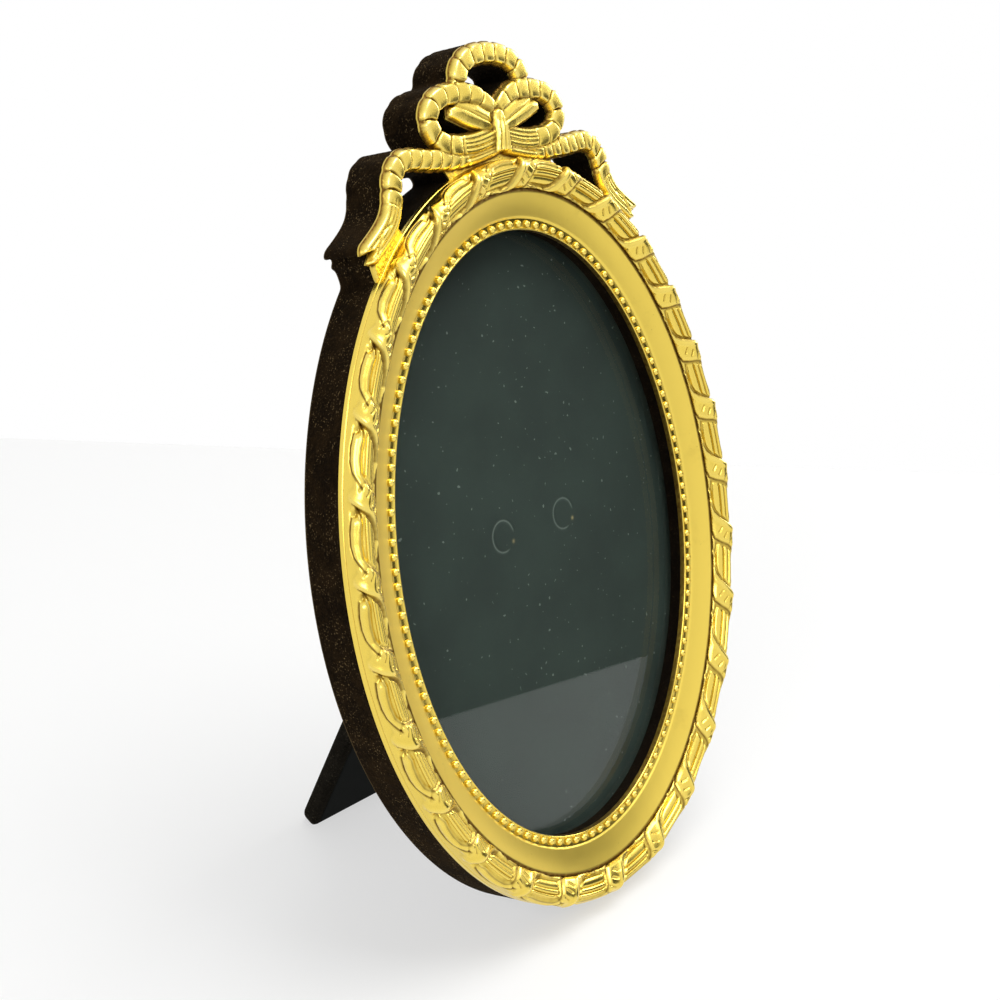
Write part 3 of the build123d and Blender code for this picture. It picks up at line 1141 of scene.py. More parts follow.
    def creases(self) -> Array:
        """Find the painted shade: thin dark lines round the ribbon and its windows, over one
        repeat.

        Returns:
            How dark they are, by step along the border and row over the roll.
        """
        pitch, run = self.pitch(), self.roll_run()
        s, p = self.repeat_grid()
        best = np.zeros(s.shape)
        lines = [[(a * pitch, b * run * self.motif_share) for a, b in shares] for shares in (
            self.lap_shares, self.arch_edge_shares, self.arch_foot_shares,
            self.window_end_shares)]
        for shift in (-1, 0, 1):
            u, v = (s - shift) * pitch, p * run
            for line, width, dark in zip(lines, self.crease_widths, self.crease_darkness):
                best = np.maximum(best, dark * bell(line_distance(u, v, line) / width))
        return best

    def _strokes(self, u: Array, v: Array, pitch: float, run: float) -> Array:
        """The engraved strokes across each crossing of the ribbon.

        Args:
            u: places along the roll.
            v: places over the roll.
            pitch: the length of a repeat.
            run: the length that the ribbon takes of the way over the roll.

        Returns:
            Heights at those places, none above zero.
        """
        lean = math.radians(self.stroke_lean)
        (depth, width), (half_length, fade) = self.stroke, self.stroke_end
        total = np.zeros(u.shape)
        for a, b in self.stroke_shares:
            du, dv = u - a * pitch, v - b * run
            along = du * math.cos(lean) + dv * math.sin(lean)
            across = dv * math.cos(lean) - du * math.sin(lean)
            ending = smooth_step((half_length - np.abs(along)) / fade)
            total -= depth * bell(across / width) * ending
        return total

    def section(self) -> tuple[Array, Array]:
        """Draw the section from the lip to the foot of the roll, without the ribbon.

        Returns:
            Its offsets and heights.
        """
        places = list(self.lip_places)
        start, start_height = places[-1]
        end = self.band_end - self.groove_width
        slope = (self.band_end_height - start_height) / (self.band_end - start)
        for row in range(1, self.band_rows + 1):
            share = row / self.band_rows
            offset = start + share * (end - start)
            height = start_height + slope * (offset - start)
            places.append((offset, height - self.band_hollow * math.sin(math.pi * share)))
        return tuple(np.array(places).T)

    def underside(self) -> tuple[Array, Array]:
        """Draw the hollow side, from the foot of the roll back to the lip.

        Returns:
            Its offsets and heights.
        """
        inner = self.roll_line(9)[1:-1][::-1]
        middle = np.array([(self.band_end + self.width) / 2, 0.0])
        inner = middle + (inner - middle) * self.under_share
        points = [(self.width - self.sheet, 0.0), *map(tuple, inner),
                  (self.band_end, self.band_end_height - 2 * self.sheet), (self.sheet, 0.0),
                  (self.sheet, self.lip_places[0][1])]
        return tuple(np.array(points).T)

    def add_to(self, piece: Piece) -> None:
        """Add the border.

        Args:
            piece: the stamped front.
        """
        columns = self.repeats * self.steps
        turns = self.oval.grown((self.band_end + self.width) / 2).even_turns(columns)
        relief = self.relief()
        wound = self._wrapped(relief, turns)
        dip = self._wrapped(blurred(relief, self.soft_passes, wrap=True), turns) - wound
        over = np.linspace(0.0, np.pi, self.roll_rows)
        wound = wound + self._unevenness(turns)[:, None] * np.sin(over)[None, :]
        roll_offset, roll_height = self.roll_line(self.roll_rows).T
        slope_offset, slope_height = np.gradient(roll_offset), np.gradient(roll_height)
        size = np.hypot(slope_offset, slope_height)
        rolled_offset = roll_offset + wound * -slope_height / size
        rolled_height = np.maximum(roll_height + wound * slope_offset / size, 0.0)
        (flat_offset, flat_height), (under_offset, under_height) = self.section(), self.underside()
        offset = np.hstack([np.tile(flat_offset, (columns, 1)), rolled_offset,
                            np.tile(under_offset, (columns, 1))])
        height = np.hstack([np.tile(flat_height, (columns, 1)), rolled_height,
                            np.tile(under_height, (columns, 1))])
        recess, rub, satin = (np.zeros(offset.shape) for _ in range(3))
        first, last = len(flat_offset), len(flat_offset) + self.roll_rows
        # The drawn lines are painted shade, added to the recess value.
        drawn = self._wrapped(self.creases(), turns)
        recess[:, first:last] = np.clip(dip / self.recess_depth + drawn, 0.0, MOST_RECESS)
        rub[:, first:last] = np.clip(-dip / self.rub_height, 0.0, 1.0)
        # Painted shade in the groove at the foot of the roll.
        recess[:, first - 1:first + 2] = self.foot_recess
        recess[:, self.trough_row:self.band_row] = self.trough_recess
        recess[:, :self.lip_rows] = 1.0
        satin[:, self.band_row:first - 1] = 1.0
        satin[:, first - 1:last] = self.roll_satin
        u = (self.oval.half_width + offset) * np.cos(turns)[:, None]
        v = (self.oval.half_height + offset) * np.sin(turns)[:, None]
        points = np.stack([u, v, height], axis=-1).reshape(-1, 3)
        piece.add(points, ring_faces(columns, offset.shape[1]), recess=recess.ravel(),
                  rub=rub.ravel(), satin=satin.ravel())

    def _wrapped(self, heights: Array, turns: Array) -> Array:
        """Lay one repeat all the way round, with the repeats drawn out a little at the foot.

        Args:
            heights: values by step along the repeat and row over the roll.
            turns: the angle of each column of the border.

        Returns:
            The values by column and row.
        """
        lag = self.lag_share * (1 + np.cos(turns)) / 2
        where = np.arange(len(turns)) - (self.first_notch_share + lag) * self.steps
        low = np.floor(where).astype(int)
        share = (where - low)[:, None]
        return heights[low % self.steps] * (1 - share) + heights[(low + 1) % self.steps] * share

    def _unevenness(self, turns: Array) -> Array:
        """A slight hand-pressed wave round the roll."""
        return sum(height * np.sin(count * turns + start) for height, count, start in self.waves)


@dataclass
class Beading:
    """The row of small round beads between the lip and the band."""

    oval: Oval
    count: int = 128
    offset: float = 1.16
    radius: float = 0.76
    seat: float = 0.34
    sides: int = 14
    rings: int = 6
    foot_angle: float = 0.35
    ring_recess: Sequence[float] = (0.9, 0.45, 0.0, 0.0, 0.0, 0.0)
    rub: float = 0.3

    def add_to(self, piece: Piece) -> None:
        """Add every bead.

        Args:
            piece: the stamped front.
        """
        line = self.oval.grown(self.offset)
        for turn in line.even_turns(self.count):
            centre = np.array([line.half_width * math.cos(turn),
                               line.half_height * math.sin(turn), self.seat])
            points, faces, recess = [], [], []
            for ring in range(self.rings):
                rise = (ring / self.rings) * math.pi / 2 - self.foot_angle * (ring == 0)
                out, up = math.cos(rise) * self.radius, math.sin(rise) * self.radius
                for side in range(self.sides):
                    angle = 2 * math.pi * side / self.sides
                    points.append(centre + (out * math.cos(angle), out * math.sin(angle), up))
                    recess.append(self.ring_recess[ring])
            points.append(centre + (0.0, 0.0, self.radius))
            recess.append(0.0)
            for ring in range(self.rings - 1):
                for side in range(self.sides):
                    beside = (side + 1) % self.sides
                    low, high = ring * self.sides, (ring + 1) * self.sides
                    faces.append([low + side, low + beside, high + beside, high + side])
            top, last = (self.rings - 1) * self.sides, len(points) - 1
            faces += [[top + side, top + (side + 1) % self.sides, last]
                      for side in range(self.sides)]
            faces.append(list(range(self.sides))[::-1])
            piece.add(np.array(points), faces, recess=np.array(recess),
                      rub=np.full(len(points), self.rub))


@dataclass
class Ribbon:
    """A pleated ribbon of the bow, which follows a curve over the front."""

    corners: Line
    pleats: int
    plain_start: float = 0.0
    plain_end: float = 0.0
    half_width: float = 2.2
    edge: float = 0.80
    rise: float = 1.25
    slant: float = 0.0
    bow_in: float = 0.11
    scallop: float = 0.22
    scallop_width: float = 0.45
    flat_share: float = 0.72
    swell: Triple = (0.12, 0.15, 0.02)
    crease: Pair = (0.55, 0.19)
    crease_least: float = 0.3
    side_line: Triple = (0.26, 0.80, 0.20)
    middle_line: Pair = (0.16, 0.16)
    # Widths and strengths of the painted shade in the creases and along the edge.
    dark_crease: float = 0.21
    dark_edge: Pair = (0.7, 0.26)
    samples: int = 72
    points: Array = field(init=False)

    def __post_init__(self) -> None:
        """Sample the curve that the ribbon follows."""
        self.points = curve_through(self.corners, self.samples)
        self.runs = runs_along(self.points)

    def locate(self, u: Array, v: Array) -> tuple[Array, Array, Array]:
        """Find where places lie by the ribbon.

        Args:
            u: places across.
            v: places up.

        Returns:
            Distances from its line, how far to its left, and runs along it.
        """
        best = np.full(u.shape, np.inf)
        side, run = np.zeros(u.shape), np.zeros(u.shape)
        for i, ((au, av), (bu, bv)) in enumerate(zip(self.points, self.points[1:])):
            du, dv = bu - au, bv - av
            size = math.hypot(du, dv)
            share = np.clip(((u - au) * du + (v - av) * dv) / size ** 2, 0.0, 1.0)
            gap = np.hypot(u - au - share * du, v - av - share * dv)
            closer = gap < best
            best = np.where(closer, gap, best)
            side = np.where(closer, (du * (v - av) - dv * (u - au)) / size, side)
            run = np.where(closer, self.runs[i] + share * size, run)
        return best, side, run

    def pleats_at(self, side: Array, run: Array) -> tuple[Array, Array, Array, Array]:
        """Find the pleats and the ribbon's scalloped edge.

        Args:
            side: how far places lie to the left of the ribbon's line.
            run: how far along it they lie.

        Returns:
            How far through its pleat each place is, how strongly pleats show there, the
            distance from the nearest crease, and the ribbon's half width.
        """
        total = self.runs[-1]
        length = total / self.pleats
        phase = ((run + self.slant * side - self.bow_in * side * side) / length) % 1.0
        shown = smooth_step((run - self.plain_start * total) / length + 0.5)
        shown = shown * smooth_step((total * (1 - self.plain_end) - run) / length + 0.5)
        from_crease = np.minimum(phase, 1 - phase) * total / self.pleats
        notch = self.scallop * bell(from_crease / self.scallop_width)
        return phase, shown, from_crease, self.half_width - notch * shown

    def distance(self, u: Array, v: Array) -> Array:
        """Distance outside the ribbon's scalloped outline."""
        gap, side, run = self.locate(u, v)
        return gap - self.pleats_at(side, run)[-1]

    def height(self, u: Array, v: Array) -> tuple[Array, Array]:
        """Shape the ribbon's surface.

        Args:
            u: places across.
            v: places up.

        Returns:
            Its heights, and distances inside its edge.
        """
        gap, side, run = self.locate(u, v)
        phase, shown, from_crease, half = self.pleats_at(side, run)
        flat, curved = (np.sqrt(np.clip(1 - (gap / half) ** power, 0.0, 1.0)) for power in (4, 2))
        dome = flat * self.flat_share + (1 - self.flat_share) * curved
        full, leaning, drop = self.swell
        swell = full * np.sin(np.pi * phase) ** 0.7 + leaning * (0.5 - phase) - drop
        crease = -self.crease[0] * bell(from_crease / self.crease[1])
        depth, place, width = self.side_line
        lines = -depth * bell((np.abs(side) - place) / width)
        lines = lines - self.middle_line[0] * bell(side / self.middle_line[1])
        pleated = (swell + crease) * (self.crease_least + (1 - self.crease_least) * dome)
        surface = self.edge + self.rise * dome
        return surface + shown * pleated + (1 - shown) * lines * dome, half - gap

    def painted_shade_lines(self, u: Array, v: Array) -> tuple[Array, Array]:
        """Find the painted shade in the ribbon's creases and along its edges.

        Args:
            u: places across.
            v: places up.

        Returns:
            How dark each place is, and its distance inside the ribbon's edge.
        """
        gap, side, run = self.locate(u, v)
        _, shown, from_crease, half = self.pleats_at(side, run)
        dark, width = self.dark_edge
        edge = dark * bell((half - gap) / width)
        return np.maximum(bell(from_crease / self.dark_crease) * shown, edge), half - gap


@dataclass
class Bow:
    """The pierced ribbon bow above the oval."""

    oval: Oval
    border_width: float = 13.3
    sheet: float = 0.5
    plate: float = 0.7
    tail_notch: float = 2.2
    knot_half_widths: Pair = (1.55, 2.75)
    knot_dome: Triple = (1.25, 1.15, 0.35)
    knot_spread: float = 1.3
    knot_folds: float = 2.25
    belly_reach: float = 1.15
    valley_sharpness: int = 6
    fold_shift: float = 0.12
    fold_height: float = 0.30
    fold_fade: Pair = (0.10, 0.35)
    petal_dome: Pair = (1.15, 0.95)
    petal_round: float = 1.6
    petal_lean: Pair = (0.92, 0.38)
    petal_fold: Triple = (1.2, 0.35, 0.25)
    stitch: Pair = (0.35, 0.20)
    edge_height: float = 0.45
    edge_round: float = 0.6
    ribbon_blend: float = 0.35
    petal_blend: float = 0.3
    knot_blend: float = 0.40
    # Strength and width of the painted shade along edges, beside overlaps and in the knot's folds.
    dark_edge: Pair = (0.7, 0.26)
    dark_beside: Pair = (0.8, 0.30)
    crease_darkness: float = 1.05
    recess_depth: float = 0.55
    rub_height: float = 0.4
    wall_recess: float = 0.3
    satin: float = 0.5
    overlap: float = 1.2
    step: float = 0.19
    soft_passes: int = 12
    across_ends: Pair = (-43.0, 43.01)
    up_ends: Pair = (52.0, 96.0)
    top_pleats: int = 9
    side_pleats: int = 12
    shoulder_pleats: int = 17
    plain_share: float = 0.24
    shoulder_plain_start: float = 0.20
    shoulder_slant: float = 0.20

    # The lines of the bow, as shares of the border's outer half width and half height.
    top_shares: Line = (
        (-0.165, 1.155), (-0.150, 1.222), (0.0, 1.268), (0.150, 1.222), (0.165, 1.155))
    side_shares: Line = (
        (0.018, 1.125), (0.085, 1.162), (0.19, 1.172), (0.285, 1.155), (0.325, 1.115),
        (0.300, 1.068), (0.22, 1.047), (0.10, 1.050), (0.018, 1.065))
    shoulder_shares: Line = (
        (0.03, 1.040), (0.15, 1.022), (0.27, 1.016), (0.40, 1.022), (0.475, 1.022),
        (0.523, 0.992), (0.540, 0.945), (0.560, 0.900), (0.615, 0.855), (0.675, 0.822))
    petal_shares: Line = (
        (0.02, 1.070), (0.085, 1.074), (0.165, 1.094), (0.230, 1.116), (0.225, 1.138),
        (0.185, 1.150), (0.10, 1.150), (0.03, 1.125))
    web_shares: Line = (
        (-0.02, 0.94), (0.25, 0.94), (0.262, 0.97), (0.285, 0.995), (0.30, 1.03),
        (0.18, 1.055), (-0.02, 1.055))
    petal_web_shares: Line = (
        (-0.02, 1.05), (0.085, 1.070), (0.165, 1.090), (0.235, 1.112), (0.23, 1.140),
        (0.19, 1.165), (-0.02, 1.125))
    tail_web_shares: Line = ((0.56, 0.90), (0.68, 0.815), (0.655, 0.735), (0.50, 0.84))
    stitch_shares: Line = ((0.585, 0.880), (0.625, 0.862), (0.660, 0.812))
    knot_shares: Pair = (1.018, 1.128)

    def __post_init__(self) -> None:
        """Lay out the ribbons, lowest first."""
        self.outer = self.oval.grown(self.border_width)
        self.ribbons: list[Ribbon] = []
        for side in (-1, 1):
            self.ribbons.append(Ribbon(
                self.places(self.shoulder_shares, side), self.shoulder_pleats,
                plain_start=self.shoulder_plain_start, plain_end=self.plain_share,
                slant=self.shoulder_slant * side))
        self.ribbons.append(Ribbon(self.places(self.top_shares), self.top_pleats))
        for side in (-1, 1):
            self.ribbons.append(Ribbon(self.places(self.side_shares, side), self.side_pleats,
                                       plain_end=self.plain_share))

    def places(self, shares: Line, side: int = 1) -> list[Pair]:
        """Places in millimetres, from shares of the border's half sizes, on side 1 or -1."""
        wide, high = self.outer.half_width, self.outer.half_height
        return [(side * a * wide, b * high) for a, b in shares]

    def knot_place(self, u: Array, v: Array) -> tuple[Array, Array]:
        """Find where places lie on the knot.

        Args:
            u: places across.
            v: places up.

        Returns:
            How far across it, in its own half widths, and how far down it, from 0 to 1.
        """
        low, high = (share * self.outer.half_height for share in self.knot_shares)
        down = np.clip((high - v) / (high - low), 0.0, 1.0)
        narrow, wide = self.knot_half_widths
        return u / (narrow + (wide - narrow) * down ** self.knot_spread), down

    def knot_distance(self, u: Array, v: Array) -> Array:
        """Distance outside the knot's fan, which is round at its top and spreads to its foot.

        Args:
            u: places across.
            v: places up.

        Returns:
            One distance for each place, negative inside.
        """
        low, high = (share * self.outer.half_height for share in self.knot_shares)
        across, _ = self.knot_place(u, v)
        narrow = self.knot_half_widths[0]
        beside = (np.abs(across) - 1.0) * narrow
        cap = np.hypot(u, v - (high - narrow)) - narrow
        return np.where(v > high - narrow, cap, np.maximum(beside, low - v))

    def notch_distance(self, u: Array, v: Array) -> Array:
        """Distance inside the notches that split the tails' ends.

        Args:
            u: places across.
            v: places up.

        Returns:
            One distance for each place, positive in a notch.
        """
        best = np.full(u.shape, -np.inf)
        for side in (-1, 1):
            (bu, bv), (eu, ev) = self.places(self.shoulder_shares, side)[-2:]
            size = math.hypot(eu - bu, ev - bv)
            du, dv = (eu - bu) / size, (ev - bv) / size
            start = self.ribbons[0].half_width - self.tail_notch
            along = (u - eu) * du + (v - ev) * dv - start
            across = np.abs((v - ev) * du - (u - eu) * dv)
            best = np.maximum(best, (along / 2 - across) / math.hypot(0.5, 1.0))
        return best

    def distance(self, u: Array, v: Array) -> Array:
        """Distance outside the whole bow, with its holes and notches, and no oval under it.

        Args:
            u: places across.
            v: places up.

        Returns:
            One distance for each place, negative inside.
        """
        best = self.knot_distance(u, v)
        for ribbon in self.ribbons:
            best = np.minimum(best, ribbon.distance(u, v))
        for side in (-1, 1):
            for shares in (self.petal_web_shares, self.web_shares, self.tail_web_shares):
                best = np.minimum(best, -inside_distance(u, v, self.places(shares, side)))
        return np.maximum(best, self.notch_distance(u, v))

    def plate_distance(self, u: Array, v: Array) -> Array:
        """Distance outside the stamped bow, which ends inside the roll of the border."""
        border = self.oval.grown(self.border_width - self.overlap)
        return np.maximum(self.distance(u, v), -border.distance(u, v))

    def stipple(self, u: Array, v: Array) -> Array:
        """A fine unevenness of the plate between the ribbons."""
        return 0.05 * np.sin(u * 5.1 + 1.3 * np.sin(v * 3.7)) * np.sin(
            v * 5.6 + 1.1 * np.sin(u * 4.3))

    def surface(self, u: Array, v: Array) -> Array:
        """Shape the stamped surface of the bow, from the lowest part to the highest.

        Args:
            u: places across.
            v: places up.

        Returns:
            Heights at those places.
        """
        height = self.plate + self.stipple(u, v)
        layers = [(*ribbon.height(u, v), self.ribbon_blend) for ribbon in self.ribbons]
        for side in (-1, 1):
            petal = self.places(self.petal_shares, side)
            inside = inside_distance(u, v, petal)
            edge, rise = self.petal_dome
            (steep, lean), (start, depth, width) = self.petal_lean, self.petal_fold
            fold = (v - petal[0][1]) * steep - side * (u - petal[0][0]) * lean - start
            dome = edge + rise * np.sqrt(np.clip(inside / self.petal_round, 0.0, 1.0))
            layers.append((dome - depth * bell(fold / width), inside, self.petal_blend))
        across, down = self.knot_place(u, v)
        folds = np.cos(2 * np.pi * self.knot_folds * (across + self.fold_shift))
        folds = folds * self._fold_shown(down)
        edge, rise, belly = self.knot_dome
        knot = edge + rise * np.sqrt(np.clip(1 - across ** 2, 0.0, 1.0))
        knot = knot + self.fold_height * folds
        knot = knot + belly * np.sin(np.pi * np.clip(down * self.belly_reach, 0.0, 1.0))
        layers.append((knot, -self.knot_distance(u, v), self.knot_blend))
        for over, inside, blend in layers:
            risen = height + (over - height) * smooth_step(inside / blend)
            height = np.where(inside > 0, risen, height)
        for side in (-1, 1):
            fold = line_distance(u, v, self.places(self.stitch_shares, side))
            height = height - self.stitch[0] * bell(fold / self.stitch[1])
        rounded = smooth_step(-self.plate_distance(u, v) / self.edge_round)
        return np.minimum(height, self.edge_height + (height - self.edge_height) * rounded)

    def _fold_shown(self, down: Array) -> Array:
        """How strongly the knot's folds show, by the way down it."""
        start, fade = self.fold_fade
        return smooth_step((down - start) / fade)

    def painted_shade_lines(self, u: Array, v: Array) -> Array:
        """Find the painted shade: dark creases, and dark lines where one part passes behind
        another.

        Args:
            u: places across.
            v: places up.

        Returns:
            How dark each place is.
        """
        dark_edge, edge_width = self.dark_edge
        layers = [ribbon.painted_shade_lines(u, v) for ribbon in self.ribbons]
        for side in (-1, 1):
            inside = inside_distance(u, v, self.places(self.petal_shares, side))
            layers.append((dark_edge * bell(inside / edge_width), inside))
        inside = -self.knot_distance(u, v)
        across, down = self.knot_place(u, v)
        valley = 0.5 - 0.5 * np.cos(2 * np.pi * self.knot_folds * (across + self.fold_shift))
        folds = dark_edge * valley ** self.valley_sharpness * self._fold_shown(down)
        layers.append((np.maximum(folds, dark_edge * bell(inside / edge_width)), inside))
        dark = np.zeros(u.shape)
        beside, beside_width = self.dark_beside
        for over, inside in layers:
            shade = np.maximum(dark, beside * bell(inside / beside_width))
            dark = np.where(inside > 0, over, shade)
        return dark

    def add_to(self, piece: Piece) -> None:
        """Add the bow.

        Args:
            piece: the stamped front.
        """
        across = np.arange(*self.across_ends, self.step)
        up = np.arange(*self.up_ends, self.step)
        cut = FlatCut(across, up, self.plate_distance)
        soft = blurred(self.surface(*np.meshgrid(across, up, indexing="ij")), self.soft_passes)
        column, row = (
            np.clip(np.rint((place - lines[0]) / self.step).astype(int), 0, len(lines) - 1)
            for place, lines in ((cut.u, across), (cut.v, up)))
        top = self.surface(cut.u, cut.v)
        dip = soft[column, row] - top
        points, faces = cut.shell(top, 0.0, 3)
        recess, rub = np.full(len(points), self.wall_recess), np.zeros(len(points))
        # The painted shade lines are added to the recess value.
        drawn = self.crease_darkness * self.painted_shade_lines(cut.u, cut.v)
        recess[:len(top)] = np.clip(dip / self.recess_depth + drawn, 0.0, MOST_RECESS)
        rub[:len(top)] = np.clip(-dip / self.rub_height, 0.0, 1.0)
        piece.add(points, faces, recess=recess, rub=rub, satin=np.full(len(points), self.satin))


@dataclass
class Assembly:
    """A sub-assembly, with what each of them is built from."""

    stance: Stance
    oval: Oval
    depths: Depths
    finishes: Finishes

    def grid(self, step: float) -> tuple[Array, Array]:
        """Grid lines across and up that cover the whole front."""
        return np.arange(*FRONT_ACROSS, step), np.arange(*FRONT_UP, step)


@dataclass
class StampedFront(Assembly):
    """The oval border, its beads and the bow, pressed from one brass sheet."""

    crease: float = 58.0

    def build(self) -> list[bpy.types.Object]:
        """Build the stamped front.

        Returns:
            The new objects.
        """
        piece = Piece("recess", "rub", "satin")
        for part in (Border(self.oval), Beading(self.oval), Bow(self.oval)):
            part.add_to(piece)
        return [piece.make("stamped_gilt_front", self.stance, Slot.BRASS, self.finishes.gilt,
                           "stamped_front", self.crease)]


@dataclass
class Cloth(Assembly):
    """The velvet on the body: its sides, the crest's holes, the opening's wall and the rear rim."""

    bow: Bow
    step: float = 0.6
    spacing: float = 0.45
    crest_start: float = 48.0
    least_points: int = 8
    setback: float = 0.06
    side_rows: int = 18
    hole_rows: int = 12
    pile_height: float = 0.035
    sight_rows: int = 8
    sight_columns: int = 360
    rim_step: float = 0.8
    rim_inset: float = 0.5
    rim_fall: Pair = (0.22, 0.8)
    rim_lift: float = 0.03
    rim_swell: float = 0.03
    rim_edge: Pair = (0.05, 0.6)

    def outline_distance(self, u: Array, v: Array) -> Array:
        """Distance outside the whole front: the oval and the bow on top of it.

        Args:
            u: places across.
            v: places up.

        Returns:
            One distance for each place, negative inside.
        """
        best = self.bow.outer.distance(u, v)
        high = v > self.crest_start
        best[high] = np.minimum(best[high], self.bow.distance(u[high], v[high]))
        return best

    def loops(self) -> list[Array]:
        """Draw the outer line of the body and the lines of its holes.

        Returns:
            Even points of each line, the longest line first.
        """
        cut = FlatCut(*self.grid(self.step), self.outline_distance)
        loops = sorted(cut.loops, key=len, reverse=True)
        return [self.evened(np.column_stack([cut.u[loop], cut.v[loop]]))
                for loop in loops if len(loop) > self.least_points]

    def evened(self, line: Array) -> Array:
        """Draw a closed line again with even steps, and slightly rounded.

        Args:
            line: its points.

        Returns:
            The new points.
        """
        closed = np.vstack([line, line[:1]])
        length = runs_along(closed)[-1]
        count = max(16, round(length / self.spacing))
        even = drawn_again(closed, np.arange(count) / count * length)
        return (np.roll(even, 1, 0) + 2 * even + np.roll(even, -1, 0)) / 4

    def add_wall(self, piece: Piece, line: Array, rows: int) -> None:
        """Add a skin of cloth that hangs back from a line of the front.

        Args:
            piece: what it is added to.
            line: the closed line, with the body on its left.
            rows: how many rows of faces go through its depth.
        """
        ahead = np.roll(line, -1, 0) - np.roll(line, 1, 0)
        ahead /= np.hypot(*ahead.T)[:, None]
        inward = np.column_stack([-ahead[:, 1], ahead[:, 0]])
        back, nap, setback = self.depths.body, self.depths.nap, self.setback
        section = [(setback, -back * row / rows) for row in range(rows)]
        section += [(setback + 0.03, 0.25 - back), (setback + 0.12, 0.08 - back),
                    (setback + nap * 0.6, -back), (setback + nap, -back),
                    (setback + nap, -back / 2), (setback + nap, 0.0)]
        edge = np.array([0.0] * rows + [0.5, 1.0, 1.0, 0.5, 0.0, 0.0])
        count, size = len(line), len(section)
        waves = self._pile(line, rows)
        points = np.zeros((count, size, 3))
        for i, (offset, height) in enumerate(section):
            push = offset + (waves[:, i] if 0 < i < rows else 0.0)
            points[:, i, :2] = line + inward * np.reshape(push, (-1, 1))
            points[:, i, 2] = height
        piece.add(points.reshape(-1, 3), ring_faces(count, size), cut_edge=np.tile(edge, count))

    def _pile(self, line: Array, rows: int) -> Array:
        """Shape the small hollows and swells of the pile.

        Args:
            line: the line that the cloth hangs back from.
            rows: how many rows of faces go through its depth.

        Returns:
            How far the pile lies inwards, by point and row.
        """
        run = np.cumsum(np.hypot(*(line - np.roll(line, 1, 0)).T))
        depth = np.arange(rows) * self.depths.body / rows
        s, d = np.meshgrid(run, depth, indexing="ij")
        wave = np.sin(s * 1.9 + 2 * np.sin(d * 1.1)) * np.sin(d * 2.3 + np.sin(s * 0.7))
        return self.pile_height * (1 + wave)

    def build(self) -> list[bpy.types.Object]:
        """Build the four skins of velvet.

        Returns:
            The new objects.
        """
        outer, *inner = self.loops()
        side, holes = Piece("cut_edge"), Piece("cut_edge")
        self.add_wall(side, outer, self.side_rows)
        for line in inner:
            self.add_wall(holes, line, self.hole_rows)
        # The opening's wall and the holes take the darker copy of the brown velvet, as painted
        # shade.
        velvet, shaded_velvet_copy = self.finishes.brown_velvet, self.finishes.sight_velvet
        black = self.finishes.black_velvet
        stance, brown = self.stance, Slot.BROWN_VELVET
        return [side.make("side_cloth", stance, brown, velvet, "side_velvet", None),
                holes.make("hole_cloth", stance, brown, shaded_velvet_copy, "hole_linings", None),
                self._sight_cloth().make("sight_cloth", stance, brown, shaded_velvet_copy, "sight_velvet"),
                self._rear_cloth().make("rear_rim_cloth", stance, Slot.BLACK_VELVET, black,
                                        "rear_velvet")]

    def _sight_cloth(self) -> Piece:
        """Draw the velvet on the wall of the opening.

        Returns:
            The piece in the making.
        """
        sheet, nap, ledge = self.depths.sheet, self.depths.nap, self.depths.ledge
        section = [(sheet, -ledge * row / self.sight_rows) for row in range(self.sight_rows + 1)]
        section += [(sheet + nap, -ledge), (sheet + nap, 0.0)]
        piece = Piece("cut_edge")
        piece.add(*oval_ring(self.oval, section, self.sight_columns))
        return piece

    def rim(self, u: Array, v: Array) -> Array:
        """Distance outside the back rim of the body, negative on it."""
        rabbet = self.oval.grown(self.depths.rabbet)
        return np.maximum(self.outline_distance(u, v) + self.rim_inset, -rabbet.distance(u, v))

    def _rear_cloth(self) -> Piece:
        """Draw the velvet on the back rim of the body.

        Returns:
            The piece in the making.
        """
        cut = FlatCut(*self.grid(self.rim_step), self.rim)
        inside = -self.rim(cut.u, cut.v)
        swell = self.rim_swell * np.sin(cut.u * 0.8) * np.sin(cut.v * 0.9)
        fall, reach = self.rim_fall
        rear = -self.depths.body + fall * (1 - smooth_step(inside / reach)) + self.rim_lift
        rear = rear + swell * smooth_step(inside)
        points, faces = cut.shell(self.depths.cloth_front, rear)
        edge = np.zeros(len(points))
        near, strength = self.rim_edge
        edge[:2 * len(inside)] = np.tile((inside < near) * strength, 2)
        piece = Piece("cut_edge")
        piece.add(points, faces, cut_edge=edge)
        return piece


@dataclass
class WoodenCore(Assembly):
    """The wooden body inside the cloth: the part with the opening, and that with the rabbet."""

    cloth: Cloth
    step: float = 1.0
    inset: float = 0.62
    front_gap: float = 0.02
    crease: float = 40.0

    def build(self) -> list[bpy.types.Object]:
        """Build the core.

        Returns:
            The new objects.
        """
        depths, piece = self.depths, Piece()
        across, up = np.arange(-58.0, 58.5, self.step), np.arange(-74.0, 95.5, self.step)
        for margin, top, bottom in (
                (depths.sheet + depths.nap, -self.front_gap, -depths.ledge),
                (depths.rabbet, -depths.ledge, depths.cloth_front)):
            cut = FlatCut(across, up, partial(self.distance, self.oval.grown(margin)))
            piece.add(*cut.shell(top, bottom))
        return [piece.make("wooden_core", self.stance, Slot.WOOD, self.finishes.wood,
                           "body_core", self.crease)]

    def distance(self, opening: Oval, u: Array, v: Array) -> Array:
        """Distance outside one part, whose opening is an oval."""
        outside = self.cloth.outline_distance(u, v) + self.inset
        return np.maximum(outside, -opening.distance(u, v))


